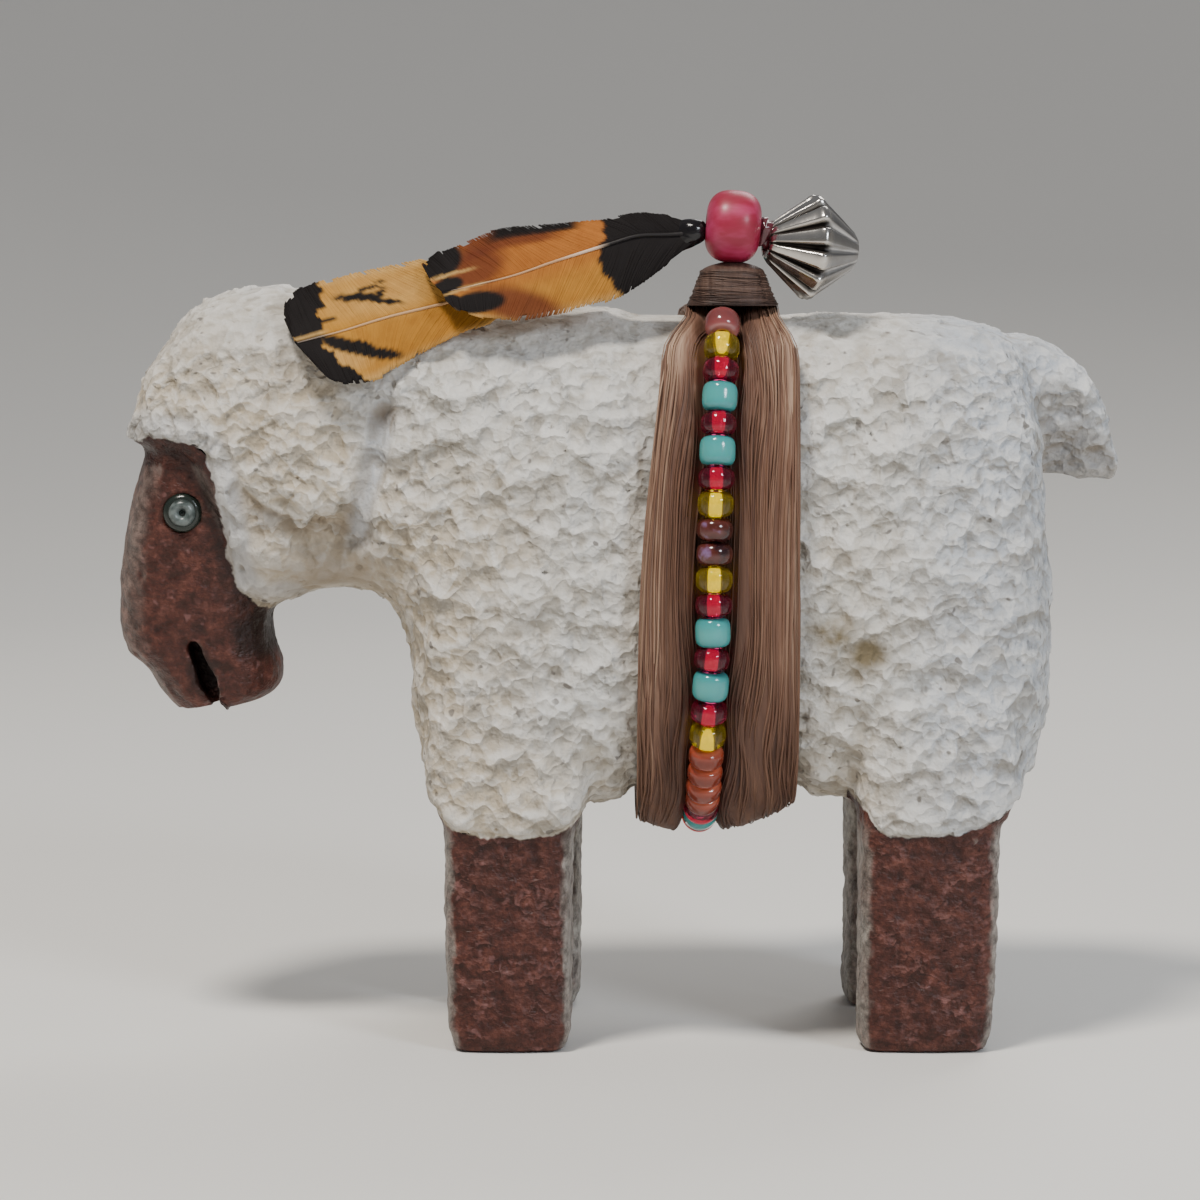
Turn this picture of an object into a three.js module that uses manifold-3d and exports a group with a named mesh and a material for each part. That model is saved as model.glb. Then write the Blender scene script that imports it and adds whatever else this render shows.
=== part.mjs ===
// A small stone sheep carrying an offering bundle: sinew round the belly, a strand of glass
// beads, two large beads on top and a pair of feathers laid forward over the neck.
// Millimetres, +Z up. The sheep faces -X, its left side is -Y, and its feet stand on Z = 0.

import * as THREE from 'three';
import { mergeVertices } from 'three/addons/utils/BufferGeometryUtils.js';
import Module from 'manifold-3d';

const wasm = await Module();
wasm.setup();

// Driving dimensions of the carving
const CLEARANCE = 0.3;
const BACK_Z = 55.2;
const BELLY_Z = 19.3;
const BODY_HALF_WIDTH = 14.2;
const BODY_SQUARENESS = 3.4;
const WAIST_FRONT_X = 0.95;
const WAIST_REAR_X = 13.6;
const FLEECE_HEM_Z = 16.5;
const LEG_GAP = 9.6;
const LEG_OUTER_Y = 13.5;
const FLEECE_OVER_LEG = 0.6;
const EYE = { x: -33.0, z: 40.4, radius: 1.0, hole: 0.3, depth: 1.3, proud: 0.35 };

// Driving dimensions of the bundle, which is tied at the left shoulder of the back
const BUNDLE_Y = -9;
const SINEW_RIDGES = 6;
const SINEW_THICKNESS = 1.5;
const SINEW_UNDER_BELLY = 2.7;
const SINEW_ON_BACK = 0.4;
const SINEW_UNDER_BEADS = 0.5;
const SINEW_FRONT_X = 1.2;
const SINEW_REAR_X = 13.2;
const COLLAR = { x: 8.4, bottomZ: 56.1, topZ: 58.9, bottomHalf: 3.45, topHalf: 2.45 };
const RED_BEAD = { x: 8.45, z: 61.9, radius: 2.68, length: 4.0, hole: 1.0, tilt: 0.087 };
const SILVER_BEAD = {
  x: 14.25, y: -8.2, z: 60.35, radius: 3.95, endRadius: 1.35, length: 6.9, hole: 0.9, flutes: 12 };
const SILVER_AXIS = new THREE.Vector3(0.96, 0.26, -0.105).normalize();
const CORD_RADIUS = 0.35;
const THREAD_RADIUS = 0.18;
const FEATHER_THICKNESS = 0.5;
const FEATHER_EDGE_THICKNESS = 0.26;

// Driving dimensions of the seed beads, by kind, and their order down one side
const SEED_RADIUS = 1.32;
const SEED_HOLE = 0.54;
const SEED_SIDES = 6;
const SEED_GAP = 0.34;
const SEED_PITCH = { turquoise: 2.26, red: 1.76, yellow: 1.98, brown: 1.8, rose: 2.1, orange: 1.62 };
const SIDE_PATTERN = [
  'rose', 'yellow', 'red', 'turquoise', 'red', 'turquoise', 'red', 'yellow', 'brown', 'brown',
  'yellow', 'red', 'turquoise', 'red', 'turquoise', 'red', 'yellow', 'orange', 'orange', 'orange'];
const BELLY_PATTERN = [
  'orange', 'red', 'turquoise', 'red', 'yellow', 'yellow', 'red', 'turquoise', 'red', 'orange'];
const BACK_PATTERN = [
  'red', 'turquoise', 'red', 'yellow', 'brown', 'red', 'turquoise', 'red', 'yellow', 'rose',
  'red', 'turquoise', 'red', 'rose'];
const FUSED_BEADS = 15;

// Where the strand starts and ends round the waist, in half turns from the middle of the back
const STRAND_START = 0.2;
const STRAND_END = 2.06;

const COLOURS = {
  stone: { color: 0xbcb8ae, roughness: 0.85, metalness: 0 },
  eye: { color: 0x8b9690, roughness: 0.25, metalness: 0.2 },
  sinew: { color: 0x6b4c3a, roughness: 0.6, metalness: 0 },
  redGlass: { color: 0xa81c3c, roughness: 0.2, metalness: 0 },
  silver: { color: 0xc8c6c0, roughness: 0.25, metalness: 1 },
  feather: { color: 0xc79a55, roughness: 0.7, metalness: 0 },
  wax: { color: 0x141212, roughness: 0.2, metalness: 0 },
  thread: { color: 0x3a2018, roughness: 0.7, metalness: 0 },
  turquoise: { color: 0x3fa9a6, roughness: 0.25, metalness: 0 },
  red: { color: 0xc01626, roughness: 0.1, metalness: 0 },
  yellow: { color: 0xd9c20c, roughness: 0.1, metalness: 0 },
  brown: { color: 0x5c2c26, roughness: 0.15, metalness: 0 },
  rose: { color: 0xb45058, roughness: 0.2, metalness: 0 },
  orange: { color: 0xb8412a, roughness: 0.15, metalness: 0 },
};

const sheep = new THREE.Group();

function add(name, geometry, look) {
  geometry.computeVertexNormals();
  const mesh = new THREE.Mesh(geometry, new THREE.MeshStandardMaterial(look));
  mesh.name = name;
  sheep.add(mesh);
  return mesh;
}

// Closed surfaces from rings of points

function signedVolume(points, index) {
  let volume = 0;
  for (let i = 0; i < index.length; i += 3) {
    const [a, b, c] = [points[index[i]], points[index[i + 1]], points[index[i + 2]]];
    volume += a.dot(new THREE.Vector3().crossVectors(b, c)) / 6;
  }
  return volume;
}

// Joins rings of equally many points into one closed skin. A loop of rings closes on itself,
// and an open run is capped at both ends.
function skin(rings, loop = false) {
  const count = rings[0].length;
  const points = rings.flat();
  const index = [];
  const spans = loop ? rings.length : rings.length - 1;
  for (let r = 0; r < spans; r++) {
    for (let i = 0; i < count; i++) {
      const j = (i + 1) % count;
      const next = (r + 1) % rings.length;
      const [a, b, c, d] = [r * count + i, r * count + j, next * count + j, next * count + i];
      index.push(a, b, c, a, c, d);
    }
  }
  if (!loop) {
    for (const [ring, flip] of [[0, true], [rings.length - 1, false]]) {
      const centre = rings[ring].reduce((sum, p) => sum.add(p), new THREE.Vector3());
      points.push(centre.divideScalar(count));
      for (let i = 0; i < count; i++) {
        const [a, b] = [ring * count + i, ring * count + (i + 1) % count];
        index.push(...(flip ? [points.length - 1, b, a] : [points.length - 1, a, b]));
      }
    }
  }
  if (signedVolume(points, index) < 0) index.reverse();
  const geometry = new THREE.BufferGeometry().setFromPoints(points);
  geometry.setIndex(index);
  return geometry;
}

function power(value, exponent) {
  return Math.sign(value) * Math.abs(value) ** exponent;
}

// A rounded section between an outer and an inner point of the side view.
function ribRing(outer, inner, width, squareness, taper, count) {
  return Array.from({ length: count }, (_, i) => {
    const turn = (2 * Math.PI * i) / count;
    const share = (1 - power(Math.cos(turn), 2 / squareness)) / 2;
    const y = -power(Math.sin(turn), 2 / squareness) * width * (1 - taper * share);
    const middle = outer.clone().lerp(inner, share);
    return new THREE.Vector3(middle.x, y, middle.z);
  });
}

// Ribs are [outer x, outer z, inner x, inner z, half width, squareness, taper].
function ribCurves(ribs) {
  const curve = (pick) => new THREE.CatmullRomCurve3(ribs.map(pick), false, 'catmullrom', 0.5);
  return {
    outer: curve((r) => new THREE.Vector3(r[0], 0, r[1])),
    inner: curve((r) => new THREE.Vector3(r[2], 0, r[3])),
    form: curve((r) => new THREE.Vector3(r[4], r[5], r[6] ?? 0)),
  };
}

function loftRibs(ribs, stepsPerRib, count) {
  const { outer, inner, form } = ribCurves(ribs);
  const steps = (ribs.length - 1) * stepsPerRib;
  const rings = Array.from({ length: steps + 1 }, (_, i) => {
    const shape = form.getPoint(i / steps);
    const [from, to] = [outer.getPoint(i / steps), inner.getPoint(i / steps)];
    return ribRing(from, to, shape.x, shape.y, shape.z, count);
  });
  return skin(rings);
}

// Level rings of a block that stands upright: [z, centre x, centre y, half length, half width].
function loftLevels(levels, squareness, count) {
  return skin(levels.map(([z, x, y, halfLength, halfWidth]) =>
    Array.from({ length: count }, (_, i) => {
      const turn = (2 * Math.PI * i) / count;
      return new THREE.Vector3(
        x + power(Math.cos(turn), 2 / squareness) * halfLength,
        y + power(Math.sin(turn), 2 / squareness) * halfWidth, z);
    })));
}

// Solids for joining and cutting

function toSolid(geometry) {
  const bare = geometry.clone();
  bare.deleteAttribute('normal');
  bare.deleteAttribute('uv');
  const merged = mergeVertices(bare, 1e-4);
  return new wasm.Manifold(new wasm.Mesh({
    numProp: 3,
    vertProperties: Float32Array.from(merged.attributes.position.array),
    triVerts: Uint32Array.from(merged.index.array),
  }));
}

function toGeometry(solid) {
  const mesh = solid.getMesh();
  const geometry = new THREE.BufferGeometry();
  geometry.setAttribute('position', new THREE.BufferAttribute(Float32Array.from(mesh.vertProperties), 3));
  geometry.setIndex(new THREE.BufferAttribute(Uint32Array.from(mesh.triVerts), 1));
  return geometry;
}

// The carving

const FLEECE_RIBS = [
  [-37.85, 45.6, -30.6, 44.6, 8.6, 3.2],
  [-37.05, 49.1, -30.4, 42.4, 9.6, 3.2],
  [-35.1, 53.2, -30.0, 39.0, 10.2, 3.0],
  [-31.5, 56.75, -29.0, 35.2, 10.6, 3.0],
  [-26.4, 57.3, -26.7, 32.6, 10.8, 3.0],
  [-21.4, 57.0, -23.8, 33.8, 11.0, 3.0],
  [-16.6, 56.6, -20.0, 34.2, 12.2, 3.0],
  [-12.6, 56.2, -17.1, 32.6, 13.2, 3.0],
  [-9.0, 56.0, -15.75, 27.4, 13.8, 3.1],
  [-5.6, 56.0, -15.1, 20.4, 14.2, 3.2],
  [-2.6, 55.9, -11.0, 17.4, 14.3, BODY_SQUARENESS],
  [0.3, 55.8, 0.3, 17.9, 14.3, BODY_SQUARENESS],
  [WAIST_FRONT_X, BACK_Z, WAIST_FRONT_X, BELLY_Z, BODY_HALF_WIDTH, BODY_SQUARENESS],
  [WAIST_REAR_X, BACK_Z, WAIST_REAR_X, BELLY_Z, BODY_HALF_WIDTH, BODY_SQUARENESS],
  [14.3, 55.4, 14.3, 18.1, 14.3, BODY_SQUARENESS],
  [21.5, 55.4, 22.0, 17.8, 14.2, 3.2],
  [27.0, 54.9, 28.0, 17.4, 13.8, 3.0],
  [30.2, 53.3, 30.8, 19.0, 12.4, 3.0],
  [31.7, 47.4, 32.4, 22.6, 9.6, 2.8],
  [32.8, 37.0, 33.0, 29.0, 5.0, 2.4],
];
const FACE_RIBS = [
  [-35.6, 47.6, -27.0, 47.6, 8.4, 3.4],
  [-36.9, 43.6, -26.6, 43.6, 8.5, 3.4],
  [-38.05, 39.6, -26.6, 39.6, 8.2, 3.4],
  [-38.6, 35.4, -26.6, 35.4, 7.6, 3.4],
  [-38.75, 32.4, -26.7, 32.0, 7.0, 3.2],
  [-38.4, 29.4, -26.3, 29.6, 6.4, 3.0],
  [-36.7, 28.1, -25.7, 28.0, 6.0, 3.0],
  [-35.7, 26.2, -26.1, 26.3, 5.6, 2.8],
  [-34.4, 24.65, -27.8, 25.3, 4.4, 2.4],
];
const TAIL_RIBS = [
  [27.6, 53.4, 28.4, 44.0, 7.0, 2.6, 0.5],
  [31.4, 53.9, 31.0, 43.2, 6.8, 2.6, 0.6],
  [34.3, 52.6, 33.2, 42.8, 6.2, 2.6, 0.6],
  [36.3, 50.4, 35.2, 42.3, 5.4, 2.6, 0.6],
  [37.7, 46.9, 37.0, 42.6, 4.2, 2.4, 0.5],
  [38.75, 43.6, 38.2, 42.5, 2.4, 2.2, 0.3],
];

// Each leg stands a little out of line with its neighbour: side, middle x, half length.
const LEGS = [
  { side: -1, front: true, x: -8.4, halfLength: 5.05 },
  { side: 1, front: true, x: -8.0, halfLength: 5.25 },
  { side: -1, front: false, x: 23.3, halfLength: 5.5 },
  { side: 1, front: false, x: 23.2, halfLength: 5.4 },
];

function legSolid({ side, front, x, halfLength }) {
  const halfWidth = (LEG_OUTER_Y - LEG_GAP / 2) / 2;
  const y = side * (LEG_GAP / 2 + halfWidth);
  const lean = front ? 0.1 : -0.3;
  return toSolid(loftLevels([
    [0, x + lean, y, halfLength - 0.8, halfWidth - 0.7],
    [0.9, x + lean, y, halfLength - 0.15, halfWidth - 0.15],
    [8, x, y, halfLength, halfWidth],
    [24, x, y, halfLength + 0.1, halfWidth],
  ], 5.5, 12));
}

// The fleece hangs over the top of each leg as a rounded flap.
function flapSolid({ side, front }) {
  const [x, halfLength] = front ? [-8.5, 6.4] : [24.3, 6.3];
  const halfWidth = (LEG_OUTER_Y - LEG_GAP / 2) / 2 + FLEECE_OVER_LEG;
  const y = side * (LEG_OUTER_Y + FLEECE_OVER_LEG - halfWidth);
  const towardsBelly = front ? 0.5 : -0.8;
  return toSolid(loftLevels([
    [FLEECE_HEM_Z, x + towardsBelly, y, halfLength * 0.6, halfWidth * 0.9],
    [FLEECE_HEM_Z + 0.6, x + towardsBelly * 0.6, y, halfLength * 0.86, halfWidth],
    [FLEECE_HEM_Z + 3.4, x, y, halfLength, halfWidth],
    [FLEECE_HEM_Z + 9, x, y, halfLength * 0.96, halfWidth],
    [FLEECE_HEM_Z + 17, x, y - side, halfLength * 0.8, halfWidth - 1],
  ], 3.6, 14));
}

function ball(x, y, z, radiusX, radiusY, radiusZ) {
  const geometry = new THREE.SphereGeometry(1, 12, 7);
  geometry.scale(radiusX, radiusY, radiusZ);
  geometry.translate(x, y, z);
  return toSolid(geometry);
}

function rod(from, to, radius, sides) {
  const length = from.distanceTo(to);
  const geometry = new THREE.CylinderGeometry(radius, radius, length, sides);
  geometry.applyQuaternion(new THREE.Quaternion().setFromUnitVectors(
    new THREE.Vector3(0, 1, 0), to.clone().sub(from).normalize()));
  geometry.translate(...from.clone().add(to).multiplyScalar(0.5).toArray());
  return toSolid(geometry);
}

// A flat piece with soft edges that stands upright between two distances from the middle plane.
function uprightPlate(outline, side, from, to, bevel) {
  const shape = new THREE.Shape(outline.map(([x, z]) => new THREE.Vector2(x, z)));
  const geometry = new THREE.ExtrudeGeometry(shape, {
    depth: to - from - bevel, bevelThickness: bevel, bevelSize: bevel, bevelOffset: -bevel,
    bevelSegments: 1 });
  geometry.rotateX(Math.PI / 2);
  geometry.translate(0, side > 0 ? to - bevel : -from, 0);
  return geometry;
}

// The ear is a ragged flap of fleece that hangs over the smooth throat. It leans in at the top.
const EAR_OUTLINE = [
  [-27.0, 47.0], [-25.6, 42.4], [-24.4, 41.3], [-22.9, 40.0], [-21.6, 40.9],
  [-20.5, 41.4], [-19.9, 45.4], [-18.6, 49.0], [-21.6, 51.0]];
const EAR_LEAN = 0.13;

// The mouth is a wedge-shaped groove from each side that opens in a notch below.
function mouthCutter() {
  const slot = new THREE.Shape();
  slot.moveTo(-31.0, 23.5);
  slot.lineTo(-33.0, 29.2);
  slot.absarc(-32.3, 29.6, 0.8, Math.PI, 0, true);
  slot.lineTo(-30.2, 26.4);
  slot.lineTo(-30.5, 23.5);
  const notch = new THREE.Shape([
    new THREE.Vector2(-32.3, 23.0), new THREE.Vector2(-30.8, 26.5), new THREE.Vector2(-29.2, 23.0)]);
  const upright = (shape, from, depth) => {
    const geometry = new THREE.ExtrudeGeometry(shape, { depth, bevelEnabled: false, curveSegments: 6 });
    geometry.rotateX(Math.PI / 2);
    geometry.translate(0, from + depth, 0);
    return toSolid(geometry);
  };
  return upright(slot, 2.6, 8).add(upright(slot, -10.6, 8)).add(upright(notch, -10, 20));
}

function halfWidthAt(ribs, z, x) {
  const { outer, inner, form } = ribCurves(ribs);
  const away = (place) => Math.abs(outer.getPoint(place).z - z);
  let best = 0;
  for (let i = 0; i <= 400; i++) {
    if (away(i / 400) < away(best)) best = i / 400;
  }
  const [front, rear, shape] = [outer.getPoint(best), inner.getPoint(best), form.getPoint(best)];
  const along = (2 * (x - front.x)) / (rear.x - front.x) - 1;
  return shape.x * (1 - Math.abs(along) ** shape.y) ** (1 / shape.y);
}

const faceY = halfWidthAt(FACE_RIBS, EYE.z, EYE.x);

function carving() {
  let stone = toSolid(loftRibs(FLEECE_RIBS, 2, 20));
  stone = stone.add(toSolid(loftRibs(FACE_RIBS, 2, 16)));
  stone = stone.add(toSolid(loftRibs(TAIL_RIBS, 2, 12)));
  stone = stone.subtract(mouthCutter());
  for (const leg of LEGS) {
    stone = stone.add(legSolid(leg)).add(flapSolid(leg));
  }
  for (const side of [-1, 1]) {
    const throat = ball(-22.2, side * 14.2, 36.8, 4.8, 5.6, 5.0);
    const neckGroove = rod(
      new THREE.Vector3(-18.2, side * 12.6, 49.4), new THREE.Vector3(-20.4, side * 11.8, 39.0), 1.1, 7);
    const socket = rod(
      new THREE.Vector3(EYE.x, side * (faceY - EYE.depth), EYE.z),
      new THREE.Vector3(EYE.x, side * (faceY + 2), EYE.z), EYE.radius + CLEARANCE, 12);
    stone = stone.subtract(throat).subtract(neckGroove).subtract(socket);
    const ear = uprightPlate(EAR_OUTLINE, side, 8.4, 11.9, 0.35);
    ear.applyMatrix4(new THREE.Matrix4().makeShear(0, 0, 0, 0, 0, -side * EAR_LEAN));
    ear.translate(0, side * EAR_LEAN * 41, 0);
    stone = stone.add(toSolid(ear));
  }
  return toGeometry(stone);
}

add('sheep_carving', carving(), COLOURS.stone);

// A short bead with a hole, its axis along +Z and its middle at the origin.
function beadGeometry(radius, length, hole, sides) {
  const half = length / 2;
  const profile = [
    [hole, -half], [radius * 0.78, -half], [radius, -half * 0.35],
    [radius, half * 0.35], [radius * 0.78, half], [hole, half], [hole, -half],
  ];
  return latheSolid(profile, sides);
}

// A turned solid whose profile closes on itself.
function latheSolid(profile, sides) {
  const geometry = new THREE.LatheGeometry(profile.map(([r, z]) => new THREE.Vector2(r, z)), sides);
  geometry.rotateX(Math.PI / 2);
  return toGeometry(toSolid(geometry));
}

function turnTo(mesh, axis) {
  mesh.quaternion.setFromUnitVectors(new THREE.Vector3(0, 0, 1), axis.clone().normalize());
}

for (const [name, side] of [['eye_left', -1], ['eye_right', 1]]) {
  const eye = add(name, beadGeometry(EYE.radius, EYE.depth, EYE.hole, 9), COLOURS.eye);
  turnTo(eye, new THREE.Vector3(0, side, 0));
  eye.position.set(EYE.x, side * (faceY + EYE.proud - EYE.depth / 2), EYE.z);
}

// The waist, round which the sinew and the bead strand lie

// A point of the waist's section: turn 0 is the back, a quarter turn is the left side (-Y).
function waistPoint(turn, offset) {
  const [halfWidth, halfHeight] = [BODY_HALF_WIDTH, (BACK_Z - BELLY_Z) / 2];
  const y = -power(Math.sin(turn), 2 / BODY_SQUARENESS) * halfWidth;
  const z = power(Math.cos(turn), 2 / BODY_SQUARENESS) * halfHeight;
  const normal = new THREE.Vector2(
    power(y / halfWidth, BODY_SQUARENESS - 1) / halfWidth,
    power(z / halfHeight, BODY_SQUARENESS - 1) / halfHeight).normalize();
  return { y: y + normal.x * offset, z: BELLY_Z + halfHeight + z + normal.y * offset };
}

// Turns spaced evenly round the waist by the length of its section.
function evenTurns(from, to, offset, count) {
  const FINE = 2000;
  const turns = Array.from({ length: FINE + 1 }, (_, i) => THREE.MathUtils.lerp(from, to, i / FINE));
  const places = turns.map((turn) => waistPoint(turn, offset));
  const run = [0];
  for (let i = 1; i <= FINE; i++) {
    run.push(run[i - 1] + Math.hypot(places[i].y - places[i - 1].y, places[i].z - places[i - 1].z));
  }
  const even = [];
  for (let k = 0, i = 0; k < count; k++) {
    while (i < FINE && run[i] < (run[FINE] * k) / (count - 1)) i++;
    even.push(turns[i]);
  }
  return even;
}

// How much a place on the waist belongs to the gathering under the collar, 0 to 1.
function gather(turn) {
  const { y, z } = waistPoint(turn, 0);
  const away = Math.hypot(y - BUNDLE_Y, Math.min(0, z - BACK_Z + 1.2) * 1.3) / 5.6;
  return Math.exp(-(away ** 3));
}

// The strand of beads drifts a little towards the head as it goes down.
function strandX(turn) {
  return 6.9 + 0.85 * Math.cos(turn);
}

function sinewHeight(turn, x) {
  const share = Math.cos(turn) ** 4;
  const flat = Math.cos(turn) > 0 ? SINEW_ON_BACK : SINEW_UNDER_BELLY;
  const dome = 1 - 0.4 * ((x - strandX(turn)) / 6.5) ** 2;
  const swell = THREE.MathUtils.lerp(SINEW_THICKNESS, flat * dome, share) + gather(turn) * 1.0;
  const channel = Math.exp(-(((x - strandX(turn)) / 1.8) ** 4));
  const under = Math.min(swell, SINEW_UNDER_BEADS + gather(turn) * 0.55);
  return THREE.MathUtils.lerp(swell, under, channel);
}

function sinewWrap() {
  const turns = evenTurns(0, 2 * Math.PI, CLEARANCE, 37).slice(0, -1);
  const steps = 2 * SINEW_RIDGES;
  const rings = turns.map((turn) => {
    const front = THREE.MathUtils.lerp(SINEW_FRONT_X, COLLAR.x - COLLAR.bottomHalf, gather(turn));
    const rear = THREE.MathUtils.lerp(SINEW_REAR_X, COLLAR.x + COLLAR.bottomHalf, gather(turn));
    const ring = [];
    for (let i = 0; i <= steps; i++) {
      const x = THREE.MathUtils.lerp(front, rear, i / steps);
      const ridge = i % steps === 0 ? 0.5 : (i % 2 ? 1 : 0.82);
      ring.push([x, CLEARANCE + sinewHeight(turn, x) * ridge]);
    }
    ring.push([rear, CLEARANCE], [front, CLEARANCE]);
    return ring.map(([x, offset]) => {
      const { y, z } = waistPoint(turn, offset);
      return new THREE.Vector3(x, y, Math.min(z, COLLAR.bottomZ - CLEARANCE));
    });
  });
  return skin(rings, true);
}

add('sinew_wrap', sinewWrap(), COLOURS.sinew);

// The collar binds the gathered sinew into a short stalk wound in rings.
function collar() {
  const levels = [];
  const windings = 3;
  for (let i = 0; i <= 2 * windings; i++) {
    const share = i / (2 * windings);
    const half = THREE.MathUtils.lerp(COLLAR.bottomHalf, COLLAR.topHalf, share);
    const ridge = i % 2 ? 0.12 : 0;
    const z = THREE.MathUtils.lerp(COLLAR.bottomZ, COLLAR.topZ, share);
    levels.push([z, COLLAR.x, BUNDLE_Y, half + ridge, half * 0.85 + ridge]);
  }
  return loftLevels(levels, 2.3, 16);
}

add('sinew_collar', collar(), COLOURS.sinew);

// The two large beads above the collar and the cord they hang on

function roller(radius, length, hole) {
  const half = length / 2;
  return latheSolid([
    [hole, -half], [radius * 0.72, -half], [radius * 0.94, -half * 0.76], [radius, -half * 0.3],
    [radius, half * 0.3], [radius * 0.94, half * 0.76], [radius * 0.72, half], [hole, half], [hole, -half],
  ], 16);
}

const redAxis = new THREE.Vector3(1, 0, -RED_BEAD.tilt).normalize();
const redBead = add('red_bead', roller(RED_BEAD.radius, RED_BEAD.length, RED_BEAD.hole), COLOURS.redGlass);
turnTo(redBead, redAxis);
redBead.position.set(RED_BEAD.x, BUNDLE_Y, RED_BEAD.z);

// Two fluted cones back to back: every second point of a ring lies in a groove.
function flutedBead() {
  const { radius, endRadius, length, hole, flutes } = SILVER_BEAD;
  const rows = [
    [hole, -length / 2, 1], [endRadius, -length / 2, 0.96], [radius, -0.25, 0.9],
    [radius, 0.25, 0.9], [endRadius, length / 2, 0.96], [hole, length / 2, 1]];
  const rings = rows.map(([r, z, groove]) => Array.from({ length: 2 * flutes }, (_, i) => {
    const turn = (Math.PI * i) / flutes;
    const reach = r * (i % 2 ? groove : 1);
    return new THREE.Vector3(reach * Math.cos(turn), reach * Math.sin(turn), z);
  }));
  return skin(rings, true);
}

const silverBead = add('silver_bead', flutedBead(), COLOURS.silver);
turnTo(silverBead, SILVER_AXIS);
silverBead.position.set(SILVER_BEAD.x, SILVER_BEAD.y, SILVER_BEAD.z);

// A round ring of points about a place on a cord that runs in a direction.
function cordRing(place, direction, radius, sides) {
  const lengthwise = Math.abs(direction.x) > 0.7;
  const reference = new THREE.Vector3(lengthwise ? 0 : 1, lengthwise ? 1 : 0, 0);
  const across = reference.addScaledVector(direction, -reference.dot(direction)).normalize();
  const up = new THREE.Vector3().crossVectors(direction, across);
  return Array.from({ length: sides }, (_, k) => {
    const turn = (2 * Math.PI * k) / sides;
    return place.clone()
      .addScaledVector(across, radius * Math.cos(turn)).addScaledVector(up, radius * Math.sin(turn));
  });
}

// A round cord through a list of points.
function cordSkin(points, radius, sides) {
  const rings = points.map((point, i) => {
    const ahead = points[Math.min(i + 1, points.length - 1)];
    const behind = points[Math.max(i - 1, 0)];
    return cordRing(point, ahead.clone().sub(behind).normalize(), radius, sides);
  });
  return skin(rings);
}

function alongAxis(centre, axis, distance) {
  return centre.clone().addScaledVector(axis, distance);
}

const redCentre = redBead.position;
const silverCentre = silverBead.position;
add('bead_cord', cordSkin([
  alongAxis(redCentre, redAxis, -RED_BEAD.length / 2 + 0.2).add(new THREE.Vector3(0, 0, 0.1)),
  alongAxis(redCentre, redAxis, RED_BEAD.length / 2 - 0.4).add(new THREE.Vector3(0, 0, -0.3)),
  alongAxis(silverCentre, SILVER_AXIS, -SILVER_BEAD.length / 2).add(new THREE.Vector3(0, 0, 0.22)),
  alongAxis(silverCentre, SILVER_AXIS, -SILVER_BEAD.length / 2 + 0.9),
  alongAxis(silverCentre, SILVER_AXIS, SILVER_BEAD.length / 2 - 0.6),
], CORD_RADIUS, 6), COLOURS.thread);

// The feathers, as rows of upper edge, shaft and lower edge from the binding to the tip
const LONG_FEATHER = [
  [[2.5, -8.6, 61.5], [2.5, -8.9, 60.9], [2.5, -9.3, 60.2]],
  [[-2.2, -8.6, 61.4], [-2.2, -9.4, 59.5], [-2.2, -10.1, 57.2]],
  [[-7.5, -8.8, 60.9], [-7.5, -9.8, 57.9], [-6.7, -10.9, 55.6]],
  [[-12.7, -8.8, 59.9], [-12.3, -10.3, 56.4], [-11.2, -11.7, 54.2]],
  [[-18.0, -8.6, 58.8], [-17.2, -10.8, 55.2], [-15.6, -12.3, 52.0]],
  [[-21.4, -8.4, 58.1], [-20.5, -11.0, 54.2], [-17.9, -12.8, 50.7]],
  [[-23.7, -8.3, 57.4], [-22.8, -11.2, 53.6], [-19.7, -13.0, 50.3]],
  [[-24.9, -8.8, 56.4], [-24.0, -11.5, 53.3], [-21.5, -13.2, 50.7]],
  [[-25.1, -9.4, 55.0], [-24.1, -11.7, 53.4], [-23.2, -13.3, 52.5]],
];
const SHORT_FEATHER = [
  [[2.5, -9.6, 62.9], [2.5, -10.2, 61.3], [2.5, -11.0, 58.0]],
  [[-1.5, -9.7, 62.4], [-1.1, -10.7, 60.5], [-0.6, -11.8, 56.5]],
  [[-5.6, -9.9, 62.0], [-4.9, -11.1, 59.3], [-4.1, -12.5, 55.6]],
  [[-9.3, -10.0, 61.6], [-7.8, -11.4, 58.3], [-7.1, -12.9, 55.1]],
  [[-12.3, -10.0, 60.4], [-10.6, -11.6, 57.6], [-9.5, -13.1, 55.1]],
  [[-13.6, -10.0, 59.9], [-11.9, -11.9, 57.3], [-10.8, -13.3, 55.4]],
  [[-14.7, -10.0, 59.0], [-13.4, -12.1, 57.0], [-12.1, -13.5, 55.8]],
];

function feather(rows) {
  const spots = rows.map((row) => row.map((spot) => new THREE.Vector3(...spot)));
  const rings = spots.map(([upper, shaft, lower], i) => {
    const ahead = spots[Math.min(i + 1, spots.length - 1)][1];
    const behind = spots[Math.max(i - 1, 0)][1];
    const out = lower.clone().sub(upper).cross(ahead.clone().sub(behind)).normalize();
    const offset = (point, amount) => point.clone().addScaledVector(out, amount);
    const [edge, middle] = [FEATHER_EDGE_THICKNESS / 2, FEATHER_THICKNESS / 2];
    return [
      offset(upper, edge), offset(shaft, middle), offset(lower, edge),
      offset(lower, -edge), offset(shaft, -middle), offset(upper, -edge),
    ];
  });
  return skin(rings);
}

add('feather_lower', feather(LONG_FEATHER), COLOURS.feather);
add('feather_upper', feather(SHORT_FEATHER), COLOURS.feather);

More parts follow.
